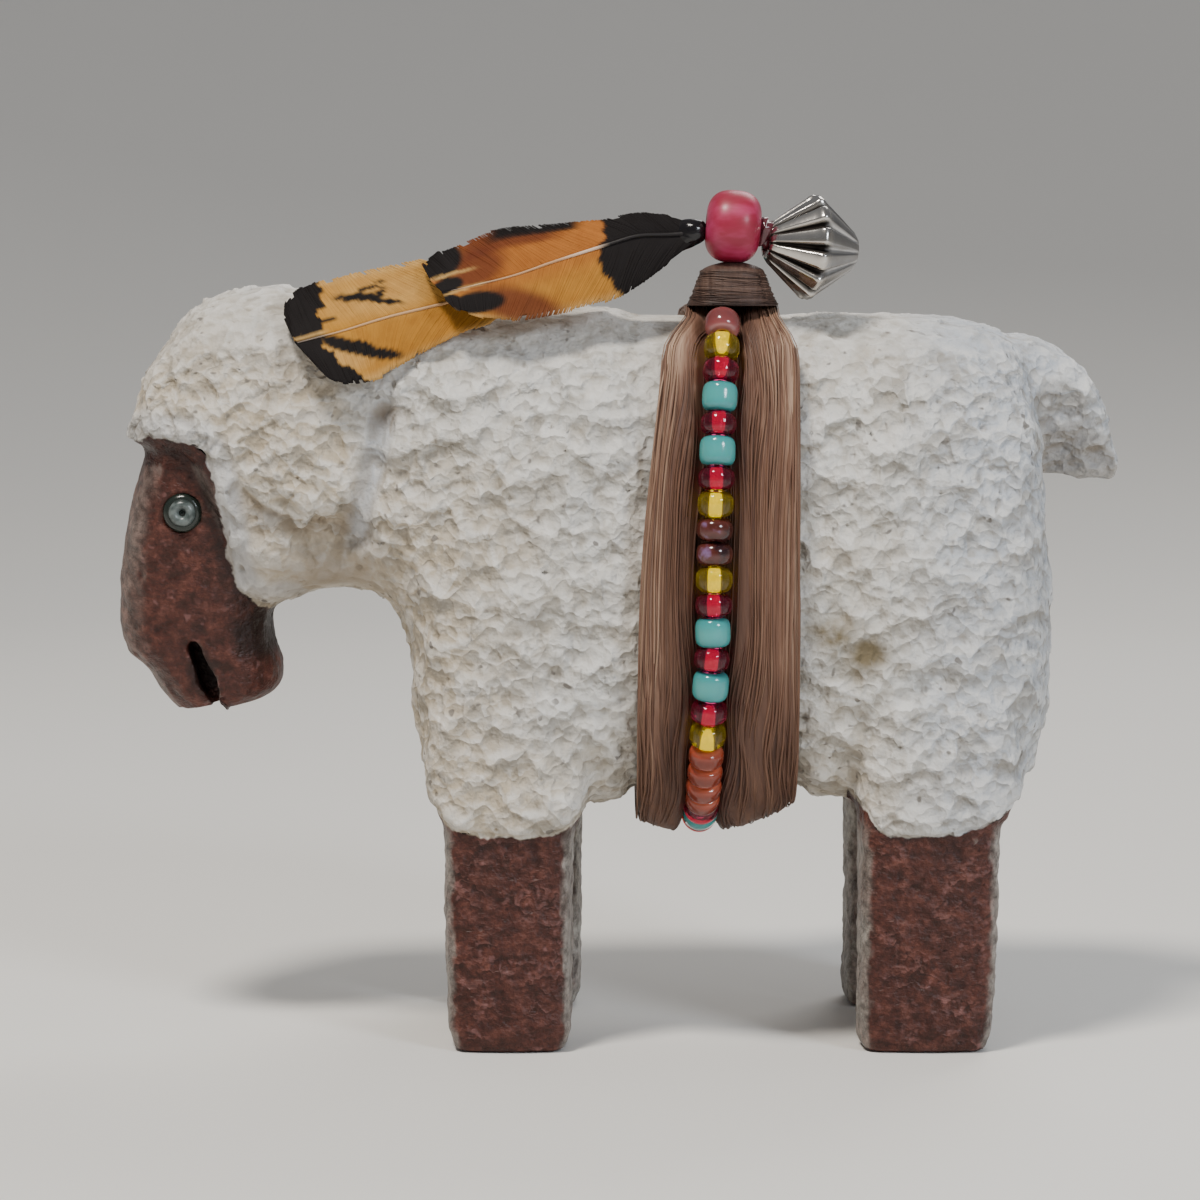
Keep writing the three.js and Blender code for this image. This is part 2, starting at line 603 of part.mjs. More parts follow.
// The waxed binding tapers from the feathers to the red bead: [x, z, half height, half depth].
const BINDING_LEVELS = [
  [6.05, 61.5, 0.9, 0.8],
  [5.5, 61.4, 1.25, 1.0],
  [4.5, 61.2, 1.7, 1.3],
  [3.6, 60.9, 2.1, 1.4],
  [2.8, 60.5, 2.45, 1.4],
];

function binding() {
  return skin(BINDING_LEVELS.map(([x, z, halfHeight, halfDepth]) =>
    Array.from({ length: 12 }, (_, i) => {
      const turn = (2 * Math.PI * i) / 12;
      const y = BUNDLE_Y - 0.4 + Math.cos(turn) * halfDepth;
      return new THREE.Vector3(x, y, z + Math.sin(turn) * halfHeight);
    })));
}

add('feather_binding', binding(), COLOURS.wax);

// The strand of seed beads round the belly, from the collar down the left side and back up

const SEED_OFFSET = CLEARANCE * 2 + SINEW_UNDER_BEADS + SEED_RADIUS;

function strandPoint(turn) {
  const { y, z } = waistPoint(turn, SEED_OFFSET + gather(turn) * 0.6);
  return new THREE.Vector3(strandX(turn), y, z);
}

// The strand as points close together, with the length run at each of them.
function strandRun() {
  const FINE = 3000;
  const from = STRAND_START * Math.PI;
  const to = STRAND_END * Math.PI;
  const turns = Array.from({ length: FINE + 1 }, (_, i) => THREE.MathUtils.lerp(from, to, i / FINE));
  const points = turns.map(strandPoint);
  const run = [0];
  for (let i = 1; i <= FINE; i++) run.push(run[i - 1] + points[i].distanceTo(points[i - 1]));
  const at = (length) => {
    const found = run.findIndex((r) => r > length);
    const i = found < 0 ? FINE : Math.max(1, found);
    const share = (length - run[i - 1]) / (run[i] - run[i - 1]);
    return points[i - 1].clone().lerp(points[i], THREE.MathUtils.clamp(share, 0, 1));
  };
  return { at, total: run[FINE] };
}

const strand = strandRun();

function seedKinds() {
  return [...SIDE_PATTERN, ...BELLY_PATTERN, ...[...SIDE_PATTERN].reverse(), ...BACK_PATTERN];
}

function placeSeed(geometry, from, to) {
  const [start, end] = [strand.at(from), strand.at(to)];
  const turned = new THREE.Quaternion().setFromUnitVectors(
    new THREE.Vector3(0, 0, 1), end.clone().sub(start).normalize());
  geometry.applyQuaternion(turned);
  geometry.translate(...start.clone().add(end).multiplyScalar(0.5).toArray());
  return geometry;
}

function seedGeometry(length) {
  const half = length / 2;
  return latheSolid([
    [SEED_HOLE, -half], [SEED_RADIUS * 0.8, -half], [SEED_RADIUS, 0],
    [SEED_RADIUS * 0.8, half], [SEED_HOLE, half], [SEED_HOLE, -half],
  ], SEED_SIDES);
}

// A round ring of points about the strand at one place on it.
function strandRing(place, radius) {
  const direction = strand.at(place + 0.2).clone().sub(strand.at(place - 0.2)).normalize();
  return cordRing(strand.at(place), direction, radius, SEED_SIDES);
}

// The beads pressed together under the belly, as one skin with a hole along it.
function beadRow(pitches, start) {
  const outside = [];
  const inside = [];
  let place = start;
  for (const pitch of pitches) {
    outside.push(strandRing(place + 0.02, SEED_RADIUS * 0.7));
    outside.push(strandRing(place + pitch * 0.25, SEED_RADIUS));
    outside.push(strandRing(place + pitch * 0.75, SEED_RADIUS));
    inside.unshift(strandRing(place + 0.02, SEED_HOLE));
    place += pitch;
  }
  outside.push(strandRing(place - SEED_GAP, SEED_RADIUS * 0.7));
  inside.unshift(strandRing(place - SEED_GAP, SEED_HOLE));
  return skin([...outside, ...inside], true);
}

function addSeedBeads() {
  const fusedFrom = SIDE_PATTERN.length + 1;
  const fused = [];
  let [run, number, fusedStart] = [0, 0, 0];
  seedKinds().forEach((kind, index) => {
    const pitch = SEED_PITCH[kind];
    if (run + pitch > strand.total) return;
    if (index === fusedFrom) fusedStart = run;
    if (index >= fusedFrom && index < fusedFrom + FUSED_BEADS) {
      fused.push(pitch);
    } else {
      number += 1;
      const bead = placeSeed(seedGeometry(pitch - SEED_GAP), run, run + pitch);
      add(`bead_${String(number).padStart(2, '0')}`, bead, COLOURS[kind]);
    }
    run += pitch;
  });
  add('beads_under_belly', beadRow(fused, fusedStart), COLOURS.red);
  return run;
}

const strandLength = addSeedBeads();
const threadPoints = Array.from({ length: 42 }, (_, i) => strand.at((strandLength * i) / 41));
add('bead_thread', cordSkin(threadPoints, THREAD_RADIUS, 4), COLOURS.thread);

export default sheep;
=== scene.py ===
"""A small carved stone sheep with its offering bundle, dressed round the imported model."""

import itertools
import math

import bmesh
import bpy
import numpy as np
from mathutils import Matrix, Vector, kdtree


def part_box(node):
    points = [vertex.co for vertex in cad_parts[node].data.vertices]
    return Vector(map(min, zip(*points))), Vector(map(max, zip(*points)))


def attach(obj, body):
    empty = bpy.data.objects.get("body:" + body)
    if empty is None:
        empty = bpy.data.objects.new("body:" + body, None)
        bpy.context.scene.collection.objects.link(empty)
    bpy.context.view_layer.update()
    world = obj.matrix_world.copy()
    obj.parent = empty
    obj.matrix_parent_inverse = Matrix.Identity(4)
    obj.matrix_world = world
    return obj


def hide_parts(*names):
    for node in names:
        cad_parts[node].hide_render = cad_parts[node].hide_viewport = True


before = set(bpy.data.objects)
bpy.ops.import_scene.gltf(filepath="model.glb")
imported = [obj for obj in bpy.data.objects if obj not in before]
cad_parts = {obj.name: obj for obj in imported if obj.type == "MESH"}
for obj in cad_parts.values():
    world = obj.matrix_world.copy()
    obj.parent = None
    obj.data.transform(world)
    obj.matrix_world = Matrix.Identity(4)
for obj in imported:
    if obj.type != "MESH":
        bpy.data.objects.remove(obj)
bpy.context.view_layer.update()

bl_info = {
    "name": "Stone sheep with offering bundle",
    "version": (1, 0, 0),
    "blender": (4, 5, 0),
    "location": "3D View > Sidebar > Sheep",
    "description": "Carves the fleece, winds the sinew, strings the beads and lays the feathers",
    "category": "Object",
}

# All shapes are worked out in millimetres, and MM turns them into Blender's metres
MM = 0.001
BODY = "root"
# Every random draw starts from this number, so each run gives the same sheep
SEED = 20
# Points of the finely spaced curves along which lengths are measured
CURVE_POINTS = 4001

# The waist that the sinew and the strand lie round, as in the solids
CLEARANCE = 0.3
BACK_Z = 55.2
BELLY_Z = 19.3
WAIST_HALF_WIDTH = 14.2
WAIST_HALF_HEIGHT = (BACK_Z - BELLY_Z) / 2
WAIST_SQUARENESS = 3.4
BUNDLE_Y = -9.0
SINEW_THICKNESS = 1.5
SINEW_UNDER_BELLY = 3.6
SINEW_ON_BACK = 0.4
SINEW_UNDER_BEADS = 0.5
SINEW_FRONT_X = 1.2
SINEW_REAR_X = 13.2
# Steps of the sinew round the waist, and its rough run for each radian and rough width
SINEW_STEPS = 140
SINEW_RUN = 17.0
SINEW_WIDTH = 12.0
COLLAR_X = 8.4
COLLAR_BOTTOM_Z = 56.1
COLLAR_TOP_Z = 58.9
COLLAR_BOTTOM_HALF = 3.45
COLLAR_TOP_HALF = 2.45

# The large beads, as in the solids
RED_CENTRE = np.array([8.45, BUNDLE_Y, 61.9])
RED_RADIUS = 2.68
RED_LENGTH = 4.0
RED_TILT = 0.087
SILVER_CENTRE = np.array([14.25, -8.2, 60.35])
SILVER_AXIS = np.array([0.96, 0.26, -0.105])
SILVER_RADIUS = 3.95
SILVER_END_RADIUS = 1.35
SILVER_LENGTH = 6.9
SILVER_FLUTES = 12

# The seed beads and their order, as in the solids
SEED_RADIUS = 1.32
SEED_PITCH = {"turquoise": 2.26, "red": 1.76, "yellow": 1.98, "brown": 1.8, "rose": 2.1, "orange": 1.62}
SIDE_PATTERN = [
    "rose", "yellow", "red", "turquoise", "red", "turquoise", "red", "yellow", "brown", "brown",
    "yellow", "red", "turquoise", "red", "turquoise", "red", "yellow", "orange", "orange", "orange"]
BELLY_PATTERN = [
    "orange", "red", "turquoise", "red", "yellow", "yellow", "red", "turquoise", "red", "orange"]
BACK_PATTERN = [
    "red", "turquoise", "red", "yellow", "brown", "red", "turquoise", "red", "yellow", "rose",
    "red", "turquoise", "red", "rose"]
FUSED_BEADS = 15
STRAND_START = 0.2
STRAND_END = 2.06

# Where the eyes sit, and the dark grain of their beads
EYE_X = -33.0
EYE_Z = 40.4
EYE_DARK = (0.035, 0.048, 0.045)

# Rounds of evening out that take the facets off the solid's form
SOFTEN_ROUNDS = 26
# The slot of the mouth, from its top to its bottom, and half its width, as in the solids
MOUTH_TOP = (-31.9, 29.0)
MOUTH_BOTTOM = (-30.6, 25.9)
MOUTH_HALF = 0.95

# The edge between the smooth dark face and the fleece, in the side view (x, z)
FACE_EDGE = [
    (-45.0, 45.4), (-37.4, 45.5), (-35.35, 46.1), (-33.5, 45.9), (-31.8, 45.6), (-31.07, 44.8),
    (-30.49, 42.9), (-29.98, 39.9), (-29.56, 36.9), (-29.05, 34.6), (-27.92, 33.45), (-26.57, 32.7),
    (-25.4, 33.3), (-24.0, 30.0), (-24.0, 20.0), (-45.0, 20.0)]
# The lower edge of the ear, as (x, z)
EAR_EDGE = [
    (-29.5, 43.2), (-26.6, 41.0), (-24.8, 40.5), (-23.7, 39.2), (-22.6, 40.1), (-21.3, 40.0), (-19.5, 42.0)]
# The smooth groove down behind the ear: its middle, and how far it leans for each millimetre of height
CHANNEL_X = -18.6
CHANNEL_Z = 43.6
CHANNEL_LEAN = 0.22
# The hem of the fleece over the legs, as (x, z) from front to back
FRONT_HEM = [
    (-15.0, 19.0), (-13.2, 17.45), (-12.31, 16.85), (-10.45, 16.47), (-5.6, 16.47), (-4.11, 16.93),
    (-2.0, 18.4)]
REAR_HEM = [
    (17.0, 19.6), (18.32, 18.43), (19.38, 16.93), (20.13, 16.47), (23.11, 16.47), (25.34, 16.7),
    (27.2, 17.23), (30.0, 18.9)]
# The larger hollows, mirrored on both sides: (x, z) of each, how far out they lie, their radius and depth
LARGE_PITS = [
    (((-17.6, 48.3), (-17.0, 43.8)), 11.2, 0.9, 0.6),
    (((-26.8, 37.1), (-28.1, 34.8), (-27.4, 34.0)), 8.0, 0.5, 0.45)]
# The brown stains on the near flank: middle and half size, as (x, z)
STAINS = [((15.7, 31.7), (1.9, 1.4)), ((18.2, 30.2), (1.6, 1.5))]

# The photograph's frame, and the place that its middle looks at
FRAME_PIXELS = 1200
MM_PER_PIXEL = 0.0775
LOOK_AT = (-1.5, 0, 33.1)


# Small helpers for shapes


def smoothstep(low, high, value):
    share = np.clip((value - low) / (high - low), 0.0, 1.0)
    return share * share * (3 - 2 * share)


def signed_power(value, exponent):
    return np.sign(value) * np.abs(value) ** exponent


def unit(vector):
    vector = np.asarray(vector, float)
    return vector / np.linalg.norm(vector, axis=-1, keepdims=True)


def lattice_noise(points, size, seed):
    """Smooth noise from -1 to 1 at points in millimetres, with features of the given size."""
    place = points / size
    cell = np.floor(place).astype(np.int64)
    local = place - cell
    local = local * local * (3 - 2 * local)
    total = np.zeros(len(points))
    for corner in itertools.product((0, 1), repeat=3):
        x, y, z = (cell[:, axis] + corner[axis] for axis in range(3))
        mixed = (x * 73856093) ^ (y * 19349663) ^ (z * 83492791) ^ (seed * 40503)
        mixed = (mixed ^ (mixed >> 13)) * 1274126177
        value = ((mixed >> 8) & 0xFFFF) / 32767.5 - 1
        weight = np.ones(len(points))
        for axis in range(3):
            weight = weight * (local[:, axis] if corner[axis] else 1 - local[:, axis])
        total += value * weight
    return total


def rough_noise(points, size, seed, octaves=3):
    total = np.zeros(len(points))
    for octave in range(octaves):
        total += lattice_noise(points, size / 2**octave, seed + octave) / 2**octave
    return total / 1.6


def catmull_rom(knots, places):
    """Points on a smooth curve through knots, at places from 0 to 1."""
    knots = np.asarray(knots, float)
    padded = np.vstack([2 * knots[0] - knots[1], knots, 2 * knots[-1] - knots[-2]])
    along = np.clip(np.asarray(places, float), 0, 1) * (len(knots) - 1)
    first = np.minimum(along.astype(int), len(knots) - 2)
    t = (along - first)[:, None]
    a, b, c, d = (padded[first + k] for k in range(4))
    return 0.5 * (2 * b + (c - a) * t + (2 * a - 5 * b + 4 * c - d) * t**2 + (3 * b - a - 3 * c + d) * t**3)


def grid_faces(rows, columns, wrap_rows=False, start=0):
    """Quads over rows of points that each close on themselves, numbered row by row."""
    faces = []
    for r in range(rows if wrap_rows else rows - 1):
        for c in range(columns):
            r2, c2 = (r + 1) % rows, (c + 1) % columns
            faces.append((start + r * columns + c, start + r * columns + c2,
                          start + r2 * columns + c2, start + r2 * columns + c))
    return faces


def flat_ends(rows, columns):
    """One face over the first and one over the last of such rows."""
    return [tuple(range(columns))[::-1], tuple((rows - 1) * columns + k for k in range(columns))]


def tube(path, radii, sides, closed=False, flat=1.0):
    """Points and faces of a round cord along a path, its rings kept from twisting."""
    path = np.asarray(path, float)
    radii = np.broadcast_to(radii, len(path))
    if closed:
        ahead, behind = np.roll(path, -1, 0), np.roll(path, 1, 0)
    else:
        ahead, behind = np.vstack([path[1:], path[-1:]]), np.vstack([path[:1], path[:-1]])
    direction = unit(ahead - behind)
    reference = np.where(np.abs(direction[:, :1]) > 0.75, [[0.0, 1.0, 0.0]], [[1.0, 0.0, 0.0]])
    across = unit(reference - np.sum(reference * direction, 1, keepdims=True) * direction)
    up = np.cross(direction, across)
    turn = 2 * math.pi * np.arange(sides) / sides
    rings = (path[:, None] + radii[:, None, None] * (
        np.cos(turn)[None, :, None] * across[:, None] + flat * np.sin(turn)[None, :, None] * up[:, None]))
    points = rings.reshape(-1, 3)
    faces = grid_faces(len(path), sides, wrap_rows=closed)
    if not closed:
        points = np.vstack([points, path[:1], path[-1:]])
        first, last, end = len(points) - 2, len(points) - 1, (len(path) - 1) * sides
        for k in range(sides):
            faces.append((first, (k + 1) % sides, k))
            faces.append((last, end + k, end + (k + 1) % sides))
    return points, faces


def lathe(profile, sides, axis, centre):
    """A turned shape: profile is (radius, height) in a loop, turned about an axis through centre."""
    axis = unit(axis)
    reference = np.array([0.0, 1.0, 0.0]) if abs(axis[1]) < 0.8 else np.array([1.0, 0.0, 0.0])
    across = unit(np.cross(reference, axis))
    up = np.cross(axis, across)
    turn = 2 * math.pi * np.arange(sides) / sides
    radial = np.cos(turn)[:, None] * across + np.sin(turn)[:, None] * up
    profile = np.asarray(profile, float)
    points = centre + profile[:, 0][:, None, None] * radial[None] + profile[:, 1][:, None, None] * axis
    return points.reshape(-1, 3), grid_faces(len(profile), sides, wrap_rows=True)


class Parts:
    """Gathers loose shapes into one mesh, with a value per point and a material per face."""

    def __init__(self):
        self.points, self.faces, self.values, self.looks = [], [], {}, []
        self.count = 0

    def add(self, shape, look=0, **values):
        points, faces = shape
        self.faces += [tuple(i + self.count for i in face) for face in faces]
        self.looks += [look] * len(faces)
        self.points.append(np.asarray(points, float))
        for name, value in values.items():
            value = np.asarray(value, float)
            self.values.setdefault(name, []).append(np.broadcast_to(value, (len(points), *value.shape[1:])))
        self.count += len(points)


def new_mesh_object(name, points, faces):
    mesh = bpy.data.meshes.new(name)
    mesh.from_pydata((np.asarray(points) * MM).tolist(), [], faces)
    mesh.validate()
    mesh.shade_smooth()
    piece = bpy.data.objects.new(name, mesh)
    bpy.context.scene.collection.objects.link(piece)
    return piece


def store(mesh, name, values):
    """Keeps a number or a colour per point of the mesh, for its material to read."""
    values = np.asarray(values, np.float32)
    if values.ndim == 1:
        mesh.attributes.new(name, "FLOAT", "POINT").data.foreach_set("value", values)
        return
    colours = np.ones((len(values), 4), np.float32)
    colours[:, :3] = values[:, :3]
    mesh.attributes.new(name, "FLOAT_COLOR", "POINT").data.foreach_set("color", colours.ravel())


def piece_from(parts, name, materials, node):
    """Turns gathered shapes into one piece that stands for a CAD node."""
    piece = new_mesh_object(name, np.vstack(parts.points), parts.faces)
    for key, chunks in parts.values.items():
        store(piece.data, key, np.concatenate(chunks))
    for material in materials:
        piece.data.materials.append(material)
    piece.data.polygons.foreach_set("material_index", parts.looks)
    face_outwards(piece.data)
    settle(piece, node)


def face_outwards(mesh):
    work = bmesh.new()
    work.from_mesh(mesh)
    bmesh.ops.recalc_face_normals(work, faces=work.faces)
    work.to_mesh(mesh)
    work.free()


def settle(piece, node):
    """Lets a piece ride on the sheep and stand for a CAD node, whose part it hides."""
    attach(piece, BODY)
    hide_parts(node)


# Small helpers for materials


class Look:
    """A material with one Principled shader and short ways to add nodes to it."""

    def __init__(self, name, colour=(0.8, 0.8, 0.8), **settings):
        self.material = bpy.data.materials.new(name)
        self.material.use_nodes = True
        self.tree = self.material.node_tree
        self.shader = self.tree.nodes["Principled BSDF"]
        self.shader.inputs["Base Color"].default_value = (*colour[:3], 1.0)
        for key, value in settings.items():
            self.shader.inputs[key.replace("_", " ")].default_value = value
        self.bump_end = None

    def node(self, kind, **settings):
        made = self.tree.nodes.new(kind)
        for key, value in settings.items():
            setattr(made, key, value)
        return made

    def link(self, source, target):
        self.tree.links.new(source, target)

    def attribute(self, name, output="Fac"):
        return self.node("ShaderNodeAttribute", attribute_name=name).outputs[output]

    def place(self):
        return self.node("ShaderNodeTexCoord").outputs["Object"]

    def noise(self, scale, detail=3.0, roughness=0.55, stretch=None):
        made = self.node("ShaderNodeTexNoise")
        made.inputs["Scale"].default_value = scale
        made.inputs["Detail"].default_value = detail
        made.inputs["Roughness"].default_value = roughness
        self.link(self.stretched(stretch) if stretch else self.place(), made.inputs["Vector"])
        return made.outputs["Fac"]

    def cells(self, scale, place=None):
        """Distance to the middle of the nearest cell, in cells of 1/scale metres."""
        made = self.node("ShaderNodeTexVoronoi")
        made.inputs["Scale"].default_value = scale
        self.link(place or self.place(), made.inputs["Vector"])
        return made.outputs["Distance"]

    def scallops_with_painted_light(self, base, where, scale, warp_mm, share, dark, light):
        """Crisp edges of shallow scoops, shaded as if lit from above: painted shade under each upper edge and
        a painted highlight on each lower lip.
        """
        place = self.warped(scale, warp_mm)
        lifted = self.node("ShaderNodeVectorMath", operation="ADD")
        lifted.inputs[1].default_value = (0.0, 0.0, 75 / scale * MM)
        self.link(place, lifted.inputs[0])
        here = self.cells(scale, place)
        above = self.cells(scale, lifted.outputs["Vector"])
        rise = self.math("MULTIPLY", self.math("SUBTRACT", above, here), 10)
        outer = self.math("MULTIPLY", self.ramp(here, [(0.34, 0.0), (0.52, share)]), where)
        fall = self.math("MULTIPLY", rise, -1)
        # Painted shade under the upper edges, painted highlight on the lower lips
        upper = self.math("MULTIPLY", outer, self.ramp(rise, [(0.15, 0.0), (0.6, 1.0)]))
        lower = self.math("MULTIPLY", outer, self.ramp(fall, [(0.15, 0.0), (0.6, 0.7)]))
        return here, self.mix(lower, self.mix(upper, base, dark), light)

    def warped(self, scale, amount_mm):
        """Places pushed about by noise, so that cells lose their straight sides."""
        push = self.node("ShaderNodeTexNoise")
        push.inputs["Scale"].default_value = scale * 1.3
        push.inputs["Detail"].default_value = 1
        self.link(self.place(), push.inputs["Vector"])
        moved = self.node("ShaderNodeVectorMath", operation="MULTIPLY_ADD")
        self.link(push.outputs["Color"], moved.inputs[0])
        moved.inputs[1].default_value = (amount_mm * MM,) * 3
        self.link(self.place(), moved.inputs[2])
        return moved.outputs["Vector"]

    def stretched(self, stretch):
        mapping = self.node("ShaderNodeMapping")
        mapping.inputs["Scale"].default_value = stretch
        self.link(self.place(), mapping.inputs["Vector"])
        return mapping.outputs["Vector"]

    def ramp(self, source, stops):
        made = self.node("ShaderNodeValToRGB")
        elements = made.color_ramp.elements
        while len(elements) < len(stops):
            elements.new(0.5)
        for element, (place, colour) in zip(elements, stops):
            element.position = place
            colour = (colour,) * 3 if isinstance(colour, (int, float)) else colour
            element.color = (*colour[:3], 1.0)
        self.link(source, made.inputs["Fac"])
        return made.outputs["Color"]

    def mix(self, share, first, second, blend="MIX"):
        made = self.node("ShaderNodeMix", data_type="RGBA", blend_type=blend)
        for value, socket in ((share, made.inputs[0]), (first, made.inputs[6]), (second, made.inputs[7])):
            if isinstance(value, bpy.types.NodeSocket):
                self.link(value, socket)
            elif isinstance(value, (int, float)):
                socket.default_value = value
            else:
                socket.default_value = (*value[:3], 1.0)
        return made.outputs[2]

    def math(self, operation, first, second=0.0, third=0.0):
        made = self.node("ShaderNodeMath", operation=operation)
        for value, socket in zip((first, second, third), made.inputs):
            if isinstance(value, bpy.types.NodeSocket):
                self.link(value, socket)
            else:
                socket.default_value = value
        return made.outputs[0]

    def colour(self, source):
        self.link(source, self.shader.inputs["Base Color"])

    def gloss(self, source):
        self.link(source, self.shader.inputs["Roughness"])

    def bump(self, height, depth_mm):
        """Adds relief that is depth_mm deep for a height of 1."""
        made = self.node("ShaderNodeBump")
        made.inputs["Strength"].default_value = 1.0
        made.inputs["Distance"].default_value = depth_mm * MM
        self.link(height, made.inputs["Height"])
        if self.bump_end is not None:
            self.link(self.bump_end, made.inputs["Normal"])
        self.bump_end = made.outputs["Normal"]
        self.link(self.bump_end, self.shader.inputs["Normal"])


# The carving


def read_points(mesh):
    points = np.empty(len(mesh.vertices) * 3, np.float32)
    mesh.vertices.foreach_get("co", points)
    return points.reshape(-1, 3).astype(float) / MM


def write_points(mesh, points):
    mesh.vertices.foreach_set("co", (points * MM).astype(np.float32).ravel())
    mesh.update()


def read_normals(mesh):
    normals = np.empty(len(mesh.vertices) * 3, np.float32)
    mesh.vertex_normals.foreach_get("vector", normals)
    return normals.reshape(-1, 3).astype(float)


def read_edges(mesh):
    edges = np.empty(len(mesh.edges) * 2, np.int32)
    mesh.edges.foreach_get("vertices", edges)
    return edges.reshape(-1, 2)


def fine_copy(node, name, spacing):
    """A copy of a CAD node's skin made of small even squares."""
    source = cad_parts[node]
    mesh = source.data.copy()
    work = bmesh.new()
    work.from_mesh(mesh)
    bmesh.ops.remove_doubles(work, verts=work.verts, dist=1e-6)
    work.to_mesh(mesh)
    work.free()
    rough = bpy.data.objects.new(name + "_coarse", mesh)
    bpy.context.scene.collection.objects.link(rough)
    remesh = rough.modifiers.new("even_squares", "REMESH")
    remesh.mode = "VOXEL"
    remesh.voxel_size = spacing * MM
    return bake_modifiers(rough, name)


def bake_modifiers(rough, name):
    """A new object with the modifiers of another made final, which is then removed."""
    evaluated = rough.evaluated_get(bpy.context.evaluated_depsgraph_get())
    mesh = bpy.data.meshes.new_from_object(evaluated)
    mesh.name = name
    old = rough.data
    bpy.data.objects.remove(rough)
    bpy.data.meshes.remove(old)
    mesh.materials.clear()
    fine = bpy.data.objects.new(name, mesh)
    bpy.context.scene.collection.objects.link(fine)
    return fine


def relax(points, edges, share, rounds):
    """Evens the points out towards their neighbours. share is 0 to 1 for each point."""
    count = len(points)
    first, second = edges[:, 0], edges[:, 1]
    near = np.bincount(first, minlength=count) + np.bincount(second, minlength=count)
    for _ in range(rounds):
        for_all = np.empty_like(points)
        for axis in range(3):
            for_all[:, axis] = (np.bincount(first, points[second, axis], count)
                                + np.bincount(second, points[first, axis], count))
        for_all /= near[:, None]
        points = points + (for_all - points) * share[:, None]
    return points


def distance_to_outline(points, outline):
    """Distance of flat points to a closed outline, positive outside it."""
    outline = np.asarray(outline, float)
    nearest = np.full(len(points), 1e9)
    inside = np.zeros(len(points), bool)
    for (ax, ay), (bx, by) in zip(outline, np.roll(outline, -1, 0)):
        run = np.array([bx - ax, by - ay])
        rel = points - (ax, ay)
        share = np.clip(rel @ run / (run @ run), 0, 1)
        nearest = np.minimum(nearest, np.hypot(*(rel - share[:, None] * run).T))
        crosses = (ay > points[:, 1]) != (by > points[:, 1])
        level = by - ay if by != ay else 1e-9
        inside ^= crosses & (points[:, 0] < (bx - ax) * (points[:, 1] - ay) / level + ax)
    return np.where(inside, -nearest, nearest)


def fleece_reach(points):
    """How far a point of the carving lies inside the fleece, in millimetres. Dark stone is negative."""
    side = points[:, [0, 2]]
    face = distance_to_outline(side, FACE_EDGE)
    face = np.where(points[:, 0] > -23.5, 50.0, face)
    legs = np.full(len(points), 50.0)
    for hem in (FRONT_HEM, REAR_HEM):
        hem = np.array(hem)
        over = (points[:, 0] > hem[0, 0]) & (points[:, 0] < hem[-1, 0]) & (np.abs(points[:, 1]) > 3.6)
        above = points[:, 2] - np.interp(points[:, 0], hem[:, 0], hem[:, 1])
        legs = np.where(over, np.minimum(legs, above), legs)
    return np.minimum(face, legs)


def on_sides(points):
    """1 on the two sides of the sheep, and 0 along its middle."""
    return smoothstep(4.0, 7.0, np.abs(points[:, 1]))


def calm_fleece(points):
    """Where the fleece is left smooth: behind the face, under the ear, behind it and on the back."""
    x, _, z = points.T
    outer = on_sides(points)
    from_face = distance_to_outline(points[:, [0, 2]], FACE_EDGE)
    cheek = smoothstep(2.6, 1.7, from_face) * smoothstep(33.0, 35.0, z) * smoothstep(45.0, 43.0, z) * outer
    throat = 0.8 * smoothstep(1.2, 0.75, np.hypot((x + 22.5) / 5.0, (z - 35.4) / 3.2)) * outer
    channel = smoothstep(1.25, 0.85, np.hypot(channel_across(x, z) / 1.15, (z - CHANNEL_Z) / 5.2)) * outer
    back = 0.7 * smoothstep(50.5, 53.5, z)
    return np.clip(np.max([cheek, throat, channel, back], axis=0), 0, 1)


def below_ear(x, z, points):
    """Distance below the ragged lower edge of the ear, faded out at its two ends."""
    edge = np.interp(x, *np.array(EAR_EDGE).T) + 0.5 * lattice_noise(points, 1.1, 61)
    ends = smoothstep(-29.6, -27.5, x) * smoothstep(-19.6, -20.6, x)
    return smoothstep(-0.2, 0.25, edge - z) * smoothstep(4.5, 1.0, edge - z) * ends


def channel_across(x, z):
    """Distance from the middle of the smooth groove behind the ear."""
    return x - CHANNEL_X - (z - CHANNEL_Z) * CHANNEL_LEAN + 0.12 * np.sin(z * 0.8)


def channel_share(points, half_width, half_length):
    """1 inside that groove, fading out at its sides and ends."""
    x, _, z = points.T
    ends = smoothstep(half_length, half_length - 1.2, np.abs(z - CHANNEL_Z))
    return np.exp(-((channel_across(x, z) / half_width) ** 4)) * ends * on_sides(points)


def scatter(points, allowed, spacing, limit, draws):
    """Numbers of points picked at random, no two of them closer than spacing."""
    taken, picked = {}, []
    for index in draws.permutation(np.nonzero(allowed)[0]):
        place = points[index]
        cell = tuple(np.floor(place / spacing).astype(int))
        around = itertools.product(*[(c - 1, c, c + 1) for c in cell])
        if any(np.sum((place - points[other]) ** 2) < spacing**2
               for near in around for other in taken.get(near, ())):
            continue
        taken.setdefault(cell, []).append(index)
        picked.append(index)
        if len(picked) == limit:
            break
    return picked


